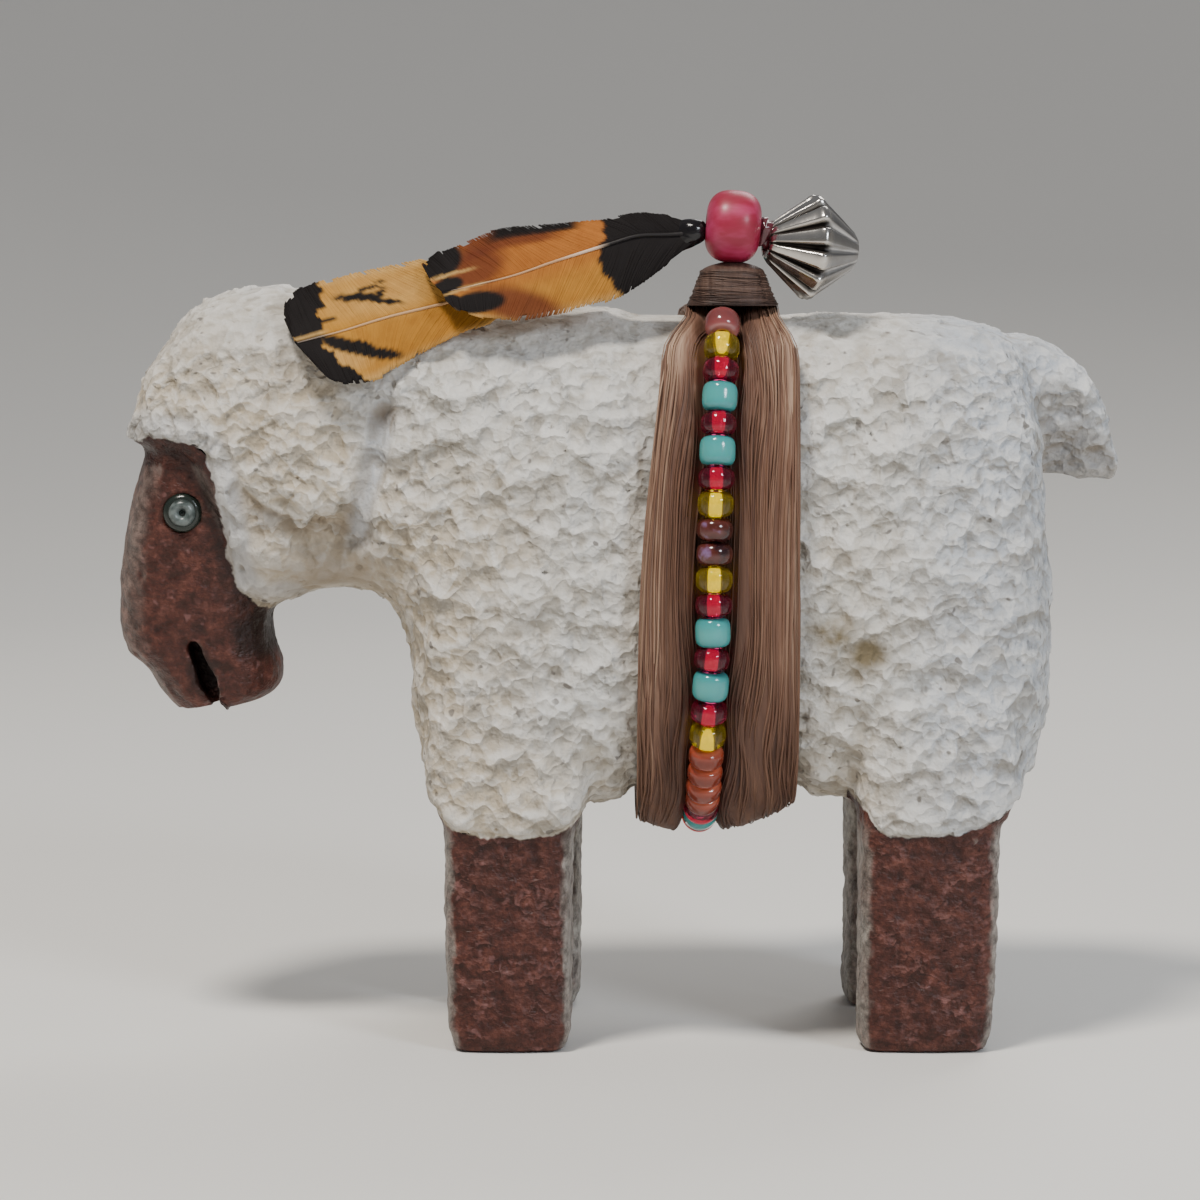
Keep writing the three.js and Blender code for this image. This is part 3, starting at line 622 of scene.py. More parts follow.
def carve_chips(points, normals, reach, calm, tools):
    """Depth of the gouged chips at each point, cut one over another as with a small gouge."""
    depth = np.zeros(len(points))
    draws = np.random.default_rng(SEED)
    tree = kdtree.KDTree(len(points))
    for index, place in enumerate(points):
        tree.insert(place, index)
    tree.balance()
    for low, high, cut, spacing, limit in tools:
        allowed = (reach > -0.2) & (calm < draws.random(len(points)) * 1.1)
        for index in scatter(points, allowed, spacing, limit, draws):
            centre, normal = points[index], normals[index]
            radius = draws.uniform(low, high)
            turn = draws.normal(0, 0.7)
            upright = np.array([0.0, 0.0, 1.0]) if abs(normal[2]) < 0.8 else np.array([-1.0, 0.0, 0.0])
            up = unit(upright - (upright @ normal) * normal)
            side = np.cross(normal, up)
            cos, sin = math.cos(turn), math.sin(turn)
            up, side = up * cos + side * sin, side * cos - up * sin
            near = np.array([item[1] for item in tree.find_range(centre, radius * 1.25)])
            rel = points[near] - centre
            facing = smoothstep(0.2, 0.6, normals[near] @ normal)
            across, along = rel @ side / radius, rel @ up / radius
            around = np.arctan2(along, across)
            uneven = 0.10 * np.sin(3 * around + index) + 0.05 * np.sin(7 * around + 2 * index)
            rim = np.hypot(across, along) * (1 + uneven)
            inside = smoothstep(1.0, 0.88, rim)
            curl = 0.22 * smoothstep(0.60, 0.50, rim) * smoothstep(-0.5, 0.3, along) * (radius > 1.3)
            stroke = draws.uniform(0.4, 1.1) * cut * radius
            base = 0.5 * np.median(depth[near])
            fresh = (base + stroke * (0.05 + 0.95 * smoothstep(-1.1, 0.9, along) + curl)) * inside * facing
            lip = 0.12 * stroke * np.exp(-(((rim - 1.08) / 0.08) ** 2)) * smoothstep(0.0, 0.7, along) * facing
            depth[near] = np.maximum(depth[near], fresh) - lip
    return depth


def carve_pits(points, places):
    """Depth of small round pits at given places, each with its radius and depth."""
    depth = np.zeros(len(points))
    for centre, radius, deep in places:
        away = np.linalg.norm(points - centre, axis=1)
        near = away < radius * 1.4
        rough = 1 + 0.25 * lattice_noise(points[near], 0.7, 91)
        depth[near] = np.maximum(depth[near], deep * smoothstep(1.2, 0.35, away[near] / radius * rough))
    return depth


WARM_CHALK = (0.50, 0.455, 0.385)
COOL_CHALK = (0.50, 0.505, 0.50)
PALE_CHALK = (0.62, 0.60, 0.56)
TAN_CHALK = (0.40, 0.345, 0.265)
# Painted highlight on the lower lips of the fleece's scoops
PAINTED_LIP_HIGHLIGHT = (0.78, 0.765, 0.73)
BLACK_STONE = (0.034, 0.010, 0.006)
RED_STONE = (0.088, 0.027, 0.018)
PALE_STONE = (0.14, 0.050, 0.036)


def fleece_shades(look, fleece_colour):
    """Colour, roughness and reliefs of the pecked pale fleece. Shade is painted into its hollows, under its
    ear, throat and tail and low on its flanks; highlights onto its ridges and scoop lips; warm light onto its
    chest and head and cool light onto its rump.
    """
    rough_here = look.attribute("rough")
    cavity = look.attribute("cavity")
    grain = look.noise(1700, 2, 0.7)
    chalk = look.ramp(look.noise(75, 3, 0.55), [
        (0.32, WARM_CHALK), (0.48, fleece_colour), (0.66, COOL_CHALK)])
    chalk = look.mix(look.ramp(look.noise(330, 3, 0.65), [(0.42, 0.0), (0.66, 0.55)]), chalk, PALE_CHALK)
    chalk = look.mix(look.ramp(look.noise(430, 3, 0.6), [(0.52, 0.0), (0.70, 0.5)]), chalk, TAN_CHALK)
    # Painted warm light on the chest and head, painted shade under the throat and low on the flanks
    chalk = look.mix(look.attribute("warm"), chalk, look.mix(0.7, chalk, (0.46, 0.365, 0.24)))
    # Cooler where the cool mark is set; on the rump this is painted cool light from the right
    chalk = look.mix(look.attribute("cool"), chalk, look.mix(0.6, chalk, (0.40, 0.455, 0.54)))
    # Painted shade in the hollows and painted highlights on the ridges, by how sunken each point is
    chalk = look.mix(look.ramp(cavity, [(0.52, 0.0), (0.88, 0.5)]), chalk, (0.25, 0.21, 0.155))
    chalk = look.mix(look.ramp(cavity, [(0.15, 0.4), (0.45, 0.0)]), chalk, (0.70, 0.685, 0.65))
    # Chips and flakes: painted shade under their upper edges, painted highlights on their lower lips
    chips, chalk = look.scallops_with_painted_light(chalk, rough_here, 310, 2.6, 0.60, (0.25, 0.225, 0.185), PAINTED_LIP_HIGHLIGHT)
    flakes, chalk = look.scallops_with_painted_light(chalk, rough_here, 740, 1.3, 0.5, (0.27, 0.245, 0.205), PAINTED_LIP_HIGHLIGHT)
    specks = look.math("MULTIPLY", look.ramp(look.noise(1100, 1), [(0.66, 0.0), (0.72, 1.0)]),
                       look.ramp(look.noise(300, 2), [(0.48, 0.0), (0.58, 0.8)]))
    chalk = look.mix(specks, chalk, (0.13, 0.115, 0.10))
    blotchy = look.ramp(look.noise(420, 2, 0.6), [(0.3, 0.5), (0.5, 1.0)])
    chalk = look.mix(look.math("MULTIPLY", look.attribute("stain"), blotchy), chalk, (0.165, 0.13, 0.075))
    chalk = look.mix(look.attribute("shade"), chalk, (0.17, 0.125, 0.08))
    gloss = look.ramp(grain, [(0.3, 0.8), (0.7, 0.95)])
    scoops = look.math("MULTIPLY_ADD", flakes, 0.6, look.math("SUBTRACT", chips, 0.72))
    scoops = look.math("MULTIPLY", scoops, rough_here)
    sand = look.math("MULTIPLY_ADD", look.noise(520, 3, 0.62), 0.9, -0.62)
    sand = look.math("MULTIPLY_ADD", grain, 0.35, sand)
    return chalk, gloss, [(scoops, 0.62), (sand, 0.42)]


def dark_shades(look, stone_colour):
    """Colour, roughness and reliefs of the smooth dark stone, crackled in patches on the legs. Shade is
    painted into its hollows and crackle, highlights onto the crackle's lips and sheen onto its edges.
    """
    rough_here = look.attribute("rough")
    speckle = look.noise(1000, 3, 0.7)
    patches = look.ramp(look.noise(360, 3), [(0.45, 0.1), (0.60, 1.0)])
    crackle = look.math("MULTIPLY", rough_here, patches)
    dark = look.ramp(speckle, [
        (0.36, BLACK_STONE), (0.47, stone_colour), (0.56, RED_STONE), (0.68, PALE_STONE)])
    cloudy = look.ramp(look.noise(170, 3, 0.6), [(0.40, 0.35), (0.60, 0.0)])
    dark = look.mix(cloudy, dark, (0.030, 0.010, 0.008))
    # Crackle: painted shade under its upper edges, painted highlights on its lower lips
    grains, dark = look.scallops_with_painted_light(dark, crackle, 1000, 1.6, 0.55, (0.018, 0.007, 0.005), (0.20, 0.09, 0.078))
    flecks = look.ramp(look.noise(1500, 1), [(0.60, 0.0), (0.72, 0.55)])
    dark = look.mix(look.math("MULTIPLY", flecks, patches), dark, (0.22, 0.10, 0.092))
    # Painted shade in the hollows
    deep = look.ramp(look.attribute("cavity"), [(0.5, 0.0), (0.8, 0.6)])
    dark = look.mix(deep, dark, (0.016, 0.006, 0.006))
    # Painted sheen: lighter grey on the legs' edges and inner sides and on the face's front edge
    edge_sheen_colour = look.ramp(speckle, [(0.35, (0.14, 0.125, 0.11)), (0.65, (0.46, 0.435, 0.39))])
    dark = look.mix(look.attribute("painted_edge_sheen"), dark, edge_sheen_colour)
    # Painted shade in the dip by the jaw, in the mouth's slot, under the brow and on the face just below the
    # fleece's edge
    dark = look.mix(look.attribute("hollow_shade"), dark, (0.012, 0.006, 0.005))
    gloss = look.ramp(speckle, [(0.35, 0.42), (0.65, 0.6)])
    grit = look.math("SUBTRACT", look.noise(620, 3, 0.65, stretch=(1, 1, 1.6)), 0.75)
    grit = look.math("MULTIPLY_ADD", speckle, 0.5, grit)
    grains = look.math("MULTIPLY", look.math("SUBTRACT", grains, 0.45), rough_here)
    return dark, gloss, [(look.math("MULTIPLY_ADD", grains, 0.3, grit), 0.4)]


def plain_look(name, shades, base_colour):
    """The fleece alone or the dark stone alone."""
    look = Look(name, base_colour, Specular_IOR_Level=0.3)
    colour, gloss, reliefs = shades(look, base_colour)
    look.colour(colour)
    look.gloss(gloss)
    for height, depth in reliefs:
        look.bump(height, depth)
    return look.material


def hem_look(fleece_colour, stone_colour):
    """Fleece and dark stone side by side, with a ragged line between them where reach is nought."""
    look = Look("fleece_hem", fleece_colour, Specular_IOR_Level=0.3)
    ragged = look.math("MULTIPLY", look.math("SUBTRACT", look.noise(900, 2), 0.5), 0.9)
    edge = look.math("MULTIPLY_ADD", look.math("ADD", look.attribute("reach"), ragged), 0.5, 0.5)
    fleece = look.ramp(edge, [(0.46, 0.0), (0.54, 1.0)])
    bare = look.math("SUBTRACT", 1.0, fleece)
    chalk, chalk_gloss, chalk_reliefs = fleece_shades(look, fleece_colour)
    dark, dark_gloss, dark_reliefs = dark_shades(look, stone_colour)
    look.colour(look.mix(fleece, dark, chalk))
    look.gloss(look.mix(fleece, dark_gloss, chalk_gloss))
    for share, reliefs in ((fleece, chalk_reliefs), (bare, dark_reliefs)):
        for height, depth in reliefs:
            look.bump(look.math("MULTIPLY", height, share), depth)
    return look.material


class CarvingSettings(bpy.types.PropertyGroup):
    spacing: bpy.props.FloatProperty(
        name="Point spacing", description="Spacing of the carving's mesh, in millimetres",
        default=0.26, min=0.2)
    triangles: bpy.props.IntProperty(
        name="Triangles", description="Most triangles the carving keeps", default=192000)
    chips: bpy.props.IntProperty(
        name="Chips", description="How many gouged chips the fleece has", default=1500)
    chip_depth: bpy.props.FloatProperty(
        name="Chip depth", description="Depth of a chip as a share of its radius", default=0.17)
    fleece_colour: bpy.props.FloatVectorProperty(
        name="Fleece", description="Colour of the pecked fleece", subtype="COLOR",
        default=(0.56, 0.54, 0.495))
    stone_colour: bpy.props.FloatVectorProperty(
        name="Dark stone", description="Colour of the smooth face and legs", subtype="COLOR",
        default=(0.060, 0.018, 0.013))


class SHEEP_OT_carving(bpy.types.Operator):
    """Carve the sheep: fleece chips, pits, smooth face and legs"""

    bl_idname = "sheep.carving"
    bl_label = "Carve the sheep"

    def execute(self, context):
        settings = context.scene.sheep_carving_settings
        piece = fine_copy("sheep_carving", "carved_sheep", settings.spacing)
        mesh = piece.data
        solid = read_points(mesh)
        points = self.narrow_mouth(self.soften(solid, read_edges(mesh)))
        write_points(mesh, points)
        normals = read_normals(mesh)
        raise_by = self.relief(solid, points, normals, settings)
        standing = smoothstep(0.0, 0.8, solid[:, 2])
        write_points(mesh, points + normals * (raise_by * standing)[:, None])

        thin = piece.modifiers.new("thin_out", "DECIMATE")
        thin.ratio = min(1.0, settings.triangles / (len(mesh.polygons) * 2))
        carved = bake_modifiers(piece, "carved_sheep")
        self.mark(carved.data)
        carved.data.shade_smooth()
        carved.data.materials.append(plain_look("pecked_fleece", fleece_shades, settings.fleece_colour))
        carved.data.materials.append(plain_look("smooth_dark_stone", dark_shades, settings.stone_colour))
        carved.data.materials.append(hem_look(settings.fleece_colour, settings.stone_colour))
        self.part_looks(carved.data)
        settle(carved, "sheep_carving")
        return {"FINISHED"}

    def soften(self, points, edges):
        """Rounds off the facets, all but those of the mouth and the eye sockets."""
        x, y, z = points.T
        mouth = smoothstep(4.5, 2.5, np.hypot(x + 31.6, z - 26.8))
        socket = smoothstep(2.4, 1.6, np.hypot(x - EYE_X, z - EYE_Z)) * (np.abs(y) > 6)
        return relax(points, edges, 0.5 * (1 - 0.9 * np.maximum(mouth, socket)), SOFTEN_ROUNDS)

    def relief(self, solid, points, normals, settings):
        """How far each softened point is raised. Wrap, ear and groove are placed by the solid's points."""
        x, _, z = solid.T
        reach = fleece_reach(points)
        wrapped = smoothstep(1.2, 2.0, x) * smoothstep(13.2, 12.4, x)
        calm = np.maximum(calm_fleece(points), wrapped)
        in_fleece = smoothstep(-0.1, 0.35, reach)

        cut = settings.chip_depth
        tools = [
            (1.9, 2.8, cut * 0.65, 2.9, settings.chips // 3),
            (1.1, 1.8, cut, 1.5, settings.chips),
            (0.5, 0.9, cut * 1.1, 0.95, settings.chips * 2),
        ]
        chips = carve_chips(points, normals, reach, calm, tools) * in_fleece
        draws = np.random.default_rng(SEED + 1)
        pits = [(points[i], draws.uniform(0.16, 0.36), draws.uniform(0.15, 0.35))
                for i in scatter(points, (reach > 0.3) & (wrapped < 0.1), 1.6, 320, draws)]
        pits += [(np.array([px, side * out, pz]), radius, depth)
                 for places, out, radius, depth in LARGE_PITS for side in (-1, 1) for px, pz in places]
        pits += [(points[i], draws.uniform(0.15, 0.45), draws.uniform(0.06, 0.16))
                 for i in scatter(points, reach < -0.5, 1.3, 260, draws)]
        small = carve_pits(points, pits)
        swell = 0.30 * rough_noise(points, 6.5, 5) + 0.20 * lattice_noise(points, 1.5, 9)
        swell += 0.10 * lattice_noise(points, 0.7, 11)
        step = 0.34 * smoothstep(0.0, 0.45, reach) - 0.22
        chips = chips * (1 + 0.7 * smoothstep(-9, -15, x) * smoothstep(36, 40, z))
        ear = 0.55 * below_ear(x, z, points) * on_sides(solid)
        channel = 0.4 * channel_share(solid, 1.0, 6.2)
        raise_by = swell * in_fleece * (1 - 0.6 * calm) + step - chips - small - channel - ear
        grit = 0.10 * rough_noise(points * (1, 1, 1.5), 1.6, 33) + 0.05 * lattice_noise(points, 0.65, 35)
        raise_by += grit * (1 - in_fleece) * (1 + 0.5 * smoothstep(20, 16, z))
        return np.where(wrapped > 0.05, np.minimum(raise_by, 0) * (1 - wrapped), raise_by)

    def part_looks(self, mesh):
        """Gives each face the fleece, the dark stone, or near the line between them the hem."""
        reach = fleece_reach(read_points(mesh))
        corners = np.empty(len(mesh.loops), np.int32)
        mesh.loops.foreach_get("vertex_index", corners)
        firsts = np.empty(len(mesh.polygons), np.int32)
        mesh.polygons.foreach_get("loop_start", firsts)
        lowest = np.minimum.reduceat(reach[corners], firsts)
        highest = np.maximum.reduceat(reach[corners], firsts)
        looks = np.where(lowest > 0.6, 0, np.where(highest < -0.6, 1, 2))
        mesh.polygons.foreach_set("material_index", looks.astype(np.int32))

    def narrow_mouth(self, points):
        """Draws the sides of the mouth together, most of all at its lower end."""
        run = unit(np.array(MOUTH_BOTTOM) - MOUTH_TOP)
        rel = points[:, [0, 2]] - MOUTH_TOP
        along = rel @ run / np.linalg.norm(np.array(MOUTH_BOTTOM) - MOUTH_TOP)
        across = rel @ np.array([-run[1], run[0]])
        wanted = np.interp(along, [-0.2, 0.15, 0.5, 0.8, 1.1], [0.40, 0.52, 0.66, 0.46, 0.18])
        near = smoothstep(0.0, 0.5, np.abs(across)) * smoothstep(2.8, MOUTH_HALF, np.abs(across))
        near = near * smoothstep(-0.7, 0.0, along) * smoothstep(1.8, 1.1, along)
        move = -np.sign(across) * (MOUTH_HALF - wanted) * near
        moved = points.copy()
        moved[:, 0] += move * -run[1]
        moved[:, 2] += move * run[0]
        return moved

    def mark(self, mesh):
        """Stores where the stone is dark, stained, warmer or cooler, how rough and how sunken it is, and
        where light, shade, highlights and sheen are painted, for its material.
        """
        points, normals = read_points(mesh), read_normals(mesh)
        x, y, z = points.T
        outer = on_sides(points)
        reach = fleece_reach(points)
        store(mesh, "reach", reach)
        # How sunken each point is; the materials paint shade in the sunken places and highlights on the
        # ridges from it
        smooth = relax(points, read_edges(mesh), np.full(len(points), 0.6), 7)
        hollowness = np.sum((smooth - points) * normals, axis=1)
        store(mesh, "cavity", np.clip(0.5 + hollowness / 0.24, 0, 1))
        stain = np.max([np.exp(-(((x - middle[0]) / half[0]) ** 2 + ((z - middle[1]) / half[1]) ** 2))
                        for middle, half in STAINS], axis=0)
        stain = 1.4 * stain * (y < -6) * (0.85 + 0.5 * rough_noise(points, 1.9, 55))
        store(mesh, "stain", np.clip(stain, 0, 1))

        under_ear = np.exp(-(((x + 22.0) / 4.2) ** 2 + ((z - 35.8) / 2.8) ** 2)) * outer
        under_edge = below_ear(x, z, points) * smoothstep(37.5, 39.5, z)
        groove = np.exp(-(((x + 17.7) / 1.3) ** 2 + ((z - 48.0) / 1.0) ** 2)) * outer
        under_tail = 0.45 * smoothstep(0.1, -0.5, normals[:, 2]) * smoothstep(27, 30, x) * (z > 36)
        shade = [0.6 * under_ear, 0.5 * under_edge, 0.75 * groove, under_tail]
        store(mesh, "shade", np.clip(np.max(shade, axis=0), 0, 1))

        # Warmer and darker on the chest, head, throat and low flanks: painted warm light on the chest and
        # head, painted shade under the throat and low on the flanks
        chest = 0.95 * smoothstep(-2, -14, x) * smoothstep(52, 36, z)
        throat = 0.6 * np.exp(-(((x + 21.0) / 5.5) ** 2 + ((z - 38.0) / 5.5) ** 2))
        head = 0.95 * smoothstep(-19, -22, x) * smoothstep(56, 49, z)
        low = 0.5 * smoothstep(27, 19, z)
        store(mesh, "warm", np.clip(chest + throat + head + low, 0, 1))
        # Cooler and darker in the groove behind the ear, on the smooth strip behind the face and on the rump;
        # on the rump it is painted cool light from the right
        cheek = 0.8 * smoothstep(2.4, 1.4, reach) * smoothstep(33, 35, z) * (x < -24)
        rump = smoothstep(18, 27, x)
        store(mesh, "cool", np.clip(np.max([channel_share(points, 1.05, 6.4), cheek, rump], axis=0), 0, 1))

        # Painted sheen, lighter grey on the legs' edges and inner sides, most on the far legs, and on the
        # face's front edge
        inner = smoothstep(6.5, 5.2, np.abs(y)) * 0.8
        ends = smoothstep(0.45, 0.8, np.abs(normals[:, 0]))
        legs = np.maximum(inner, ends) * smoothstep(18, 16, z) * np.where(y > 0, 1.0, 0.75)
        legs = np.maximum(legs, 0.35 * smoothstep(0.3, 0.8, -normals[:, 0]) * (x < -30) * (z < 44))
        store(mesh, "painted_edge_sheen", np.clip(legs * (0.8 + 0.4 * rough_noise(points, 3, 77)), 0, 1))
        on_dark = np.where(z < 20, 1.0, 0.15)
        store(mesh, "rough", np.where(reach < -0.1, on_dark, 1 - 0.85 * calm_fleece(points)))
        # Painted shade in the dip by the jaw, in the mouth's slot, under the brow and on the face just below
        # the fleece's edge
        around_jaw = np.hypot((x + 27.5) / 1.7, (z - 31.0) / 1.8) + 0.1 * lattice_noise(points, 1.0, 63)
        jaw = 0.9 * smoothstep(1.4, 0.8, around_jaw)
        slot = 0.8 * smoothstep(1.5, 0.6, np.hypot((x + 31.9) / 1.1, (z - 28.2) / 1.6))
        brow = 0.5 * smoothstep(0.9, 0.1, np.abs(z - 45.5)) * (x < -31.0)
        behind = 0.5 * smoothstep(1.2, 0.2, np.abs(reach + 0.5)) * (x < -24) * (z > 33)
        store(mesh, "hollow_shade", np.clip(np.max([jaw, slot, brow, behind], axis=0), 0, 1))


# The eyes


class EyeSettings(bpy.types.PropertyGroup):
    colour: bpy.props.FloatVectorProperty(
        name="Eye", description="Light grain of the inlaid bead", subtype="COLOR",
        default=(0.13, 0.155, 0.15))


class SHEEP_OT_eyes(bpy.types.Operator):
    """Set a small bead in its dark glue for each eye"""

    bl_idname = "sheep.eyes"
    bl_label = "Set the eyes"

    def execute(self, context):
        settings = context.scene.sheep_eye_settings
        bead = Look("eye_bead", settings.colour, Roughness=0.3, Coat_Weight=0.15)
        bead.colour(bead.ramp(bead.noise(1500, 3), [(0.38, EYE_DARK), (0.62, settings.colour)]))
        glue = Look("eye_glue", (0.012, 0.018, 0.014), Roughness=0.22)
        glue.bump(glue.noise(900, 2), 0.05)
        for name, side in (("eye_left", -1.0), ("eye_right", 1.0)):
            low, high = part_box(name)
            front = (low.y if side < 0 else high.y) / MM
            centre = np.array([EYE_X, front - side * 0.45, EYE_Z])
            parts = Parts()
            turns = np.linspace(-0.5, 1.5, 25)[:-1] * math.pi
            ring = [(0.62 + 0.40 * math.cos(t), 0.02 + 0.46 * math.sin(t)) for t in turns]
            parts.add(lathe(ring, 40, (0, side, 0), centre))
            pupil = [(0.0, -0.6), (0.34, -0.6), (0.34, 0.02), (0.2, 0.1), (0.0, 0.12)]
            parts.add(lathe(pupil, 24, (0, side, 0), centre), 1)
            seat = [
                (0.7, -0.75), (1.55, -0.75), (1.46, -0.25), (1.24, 0.0), (1.0, 0.06), (0.86, -0.05),
                (0.7, -0.3)]
            parts.add(lathe(seat, 40, (0, side, 0), centre), 1)
            piece_from(parts, "set_" + name, [bead.material, glue.material], name)
        return {"FINISHED"}


# The waist and what is wound round it


def waist_points(turn, offset):
    """Points round the waist: turn 0 is the back, a quarter turn is the left side."""
    y = -signed_power(np.sin(turn), 2 / WAIST_SQUARENESS) * WAIST_HALF_WIDTH
    z = signed_power(np.cos(turn), 2 / WAIST_SQUARENESS) * WAIST_HALF_HEIGHT
    out_y = signed_power(y / WAIST_HALF_WIDTH, WAIST_SQUARENESS - 1) / WAIST_HALF_WIDTH
    out_z = signed_power(z / WAIST_HALF_HEIGHT, WAIST_SQUARENESS - 1) / WAIST_HALF_HEIGHT
    size = np.hypot(out_y, out_z)
    return y + out_y / size * offset, BELLY_Z + WAIST_HALF_HEIGHT + z + out_z / size * offset


def even_turns(count):
    """Turns spaced evenly along the waist, all the way round."""
    fine = np.linspace(0, 2 * math.pi, CURVE_POINTS)
    y, z = waist_points(fine, np.full(len(fine), CLEARANCE))
    run = np.concatenate([[0], np.cumsum(np.hypot(np.diff(y), np.diff(z)))])
    return np.interp(np.linspace(0, run[-1], count + 1)[:-1], run, fine)


def gather(turn):
    """How much a place on the waist belongs to the gathering under the collar, 0 to 1."""
    y, z = waist_points(turn, np.zeros(np.shape(turn)))
    away = np.hypot(y - BUNDLE_Y, np.minimum(0, z - BACK_Z + 1.2) * 1.3) / 5.6
    return np.exp(-(away**3))


def drawn_in(turn):
    """How far the wrap is drawn in under the collar: tight on the near side, all across the back."""
    y, z = waist_points(turn, np.zeros(np.shape(turn)))
    reach = np.where(y > BUNDLE_Y, 32.0, 3.4)
    away = np.hypot((y - BUNDLE_Y) / reach, np.minimum(0, z - BACK_Z + 1.0) / 2.1)
    return np.exp(-(away**3))


def strand_x(turn):
    return 6.9 + 0.85 * np.cos(turn)


def sinew_height(turn, x):
    share = np.cos(turn) ** 4
    flat = np.where(np.cos(turn) > 0, SINEW_ON_BACK, SINEW_UNDER_BELLY)
    dome = 1 - 0.52 * ((x - strand_x(turn)) / 6.5) ** 2
    swell = SINEW_THICKNESS + (flat * dome - SINEW_THICKNESS) * share + gather(turn)
    channel = np.exp(-(((x - strand_x(turn)) / (1.45 + 0.15 * np.cos(turn))) ** 4))
    under = np.minimum(swell, SINEW_UNDER_BEADS + gather(turn) * 0.55)
    return swell + (under - swell) * channel


def across_wrap(turn, share):
    """The x of a place across the wrap, share 0 at its front edge and 1 at its rear edge."""
    held = drawn_in(turn)
    sway = 0.030 * np.sin(3.1 * turn + 5 * share) + 0.020 * np.sin(9 * turn - 11 * share)
    share = share + sway * 4 * share * (1 - share)
    height = waist_points(turn, np.zeros(np.shape(turn)))[1]
    front = SINEW_FRONT_X + 0.1 + 2.0 * np.exp(-(((BACK_Z + 0.8 - height) / 14) ** 2))
    front = front + (COLLAR_X - COLLAR_BOTTOM_HALF - front) * held
    rear = SINEW_REAR_X + (COLLAR_X + COLLAR_BOTTOM_HALF - SINEW_REAR_X) * held
    return front + (rear - front) * share


def wrap_path(turn, share, lift):
    x = across_wrap(turn, share)
    y, z = waist_points(turn, CLEARANCE + sinew_height(turn, x) + lift)
    return np.column_stack([x, y, np.minimum(z, COLLAR_BOTTOM_Z - 0.1)])


def sinew_look(name, colour, light, dark):
    look = Look(name, colour, Roughness=0.5, Specular_IOR_Level=0.3)
    streak = look.noise(2600, 3, 0.6, stretch=(1.0, 0.10, 0.10))
    mixed = look.math("MULTIPLY_ADD", look.math("SUBTRACT", streak, 0.5), 0.45, look.attribute("tone"))
    look.colour(look.ramp(mixed, [(0.05, dark), (0.45, colour), (0.95, light)]))
    look.gloss(look.ramp(streak, [(0.3, 0.42), (0.7, 0.65)]))
    look.bump(streak, 0.07)
    return look.material


def fibre_noise(across, run, width, length, seed):
    """Noise of long thin fibres: as wide as width and as long as length, in millimetres."""
    place = np.column_stack([across.ravel() / width, run.ravel() / length, np.zeros(across.size)])
    return lattice_noise(place, 1.0, seed).reshape(across.shape)


class SinewSettings(bpy.types.PropertyGroup):
    strands: bpy.props.IntProperty(
        name="Strands", description="How many loose strands lie on top", default=110)
    thickness: bpy.props.FloatProperty(
        name="Strand radius", description="Radius of a loose strand, in millimetres", default=0.075)
    columns: bpy.props.IntProperty(
        name="Fibre columns", description="Columns of points across the layer of fibres", default=230)
    colour: bpy.props.FloatVectorProperty(
        name="Sinew", description="Colour of the waxed sinew", subtype="COLOR", default=(0.170, 0.088, 0.056))
    windings: bpy.props.IntProperty(
        name="Windings", description="Turns of sinew that bind the collar", default=12)


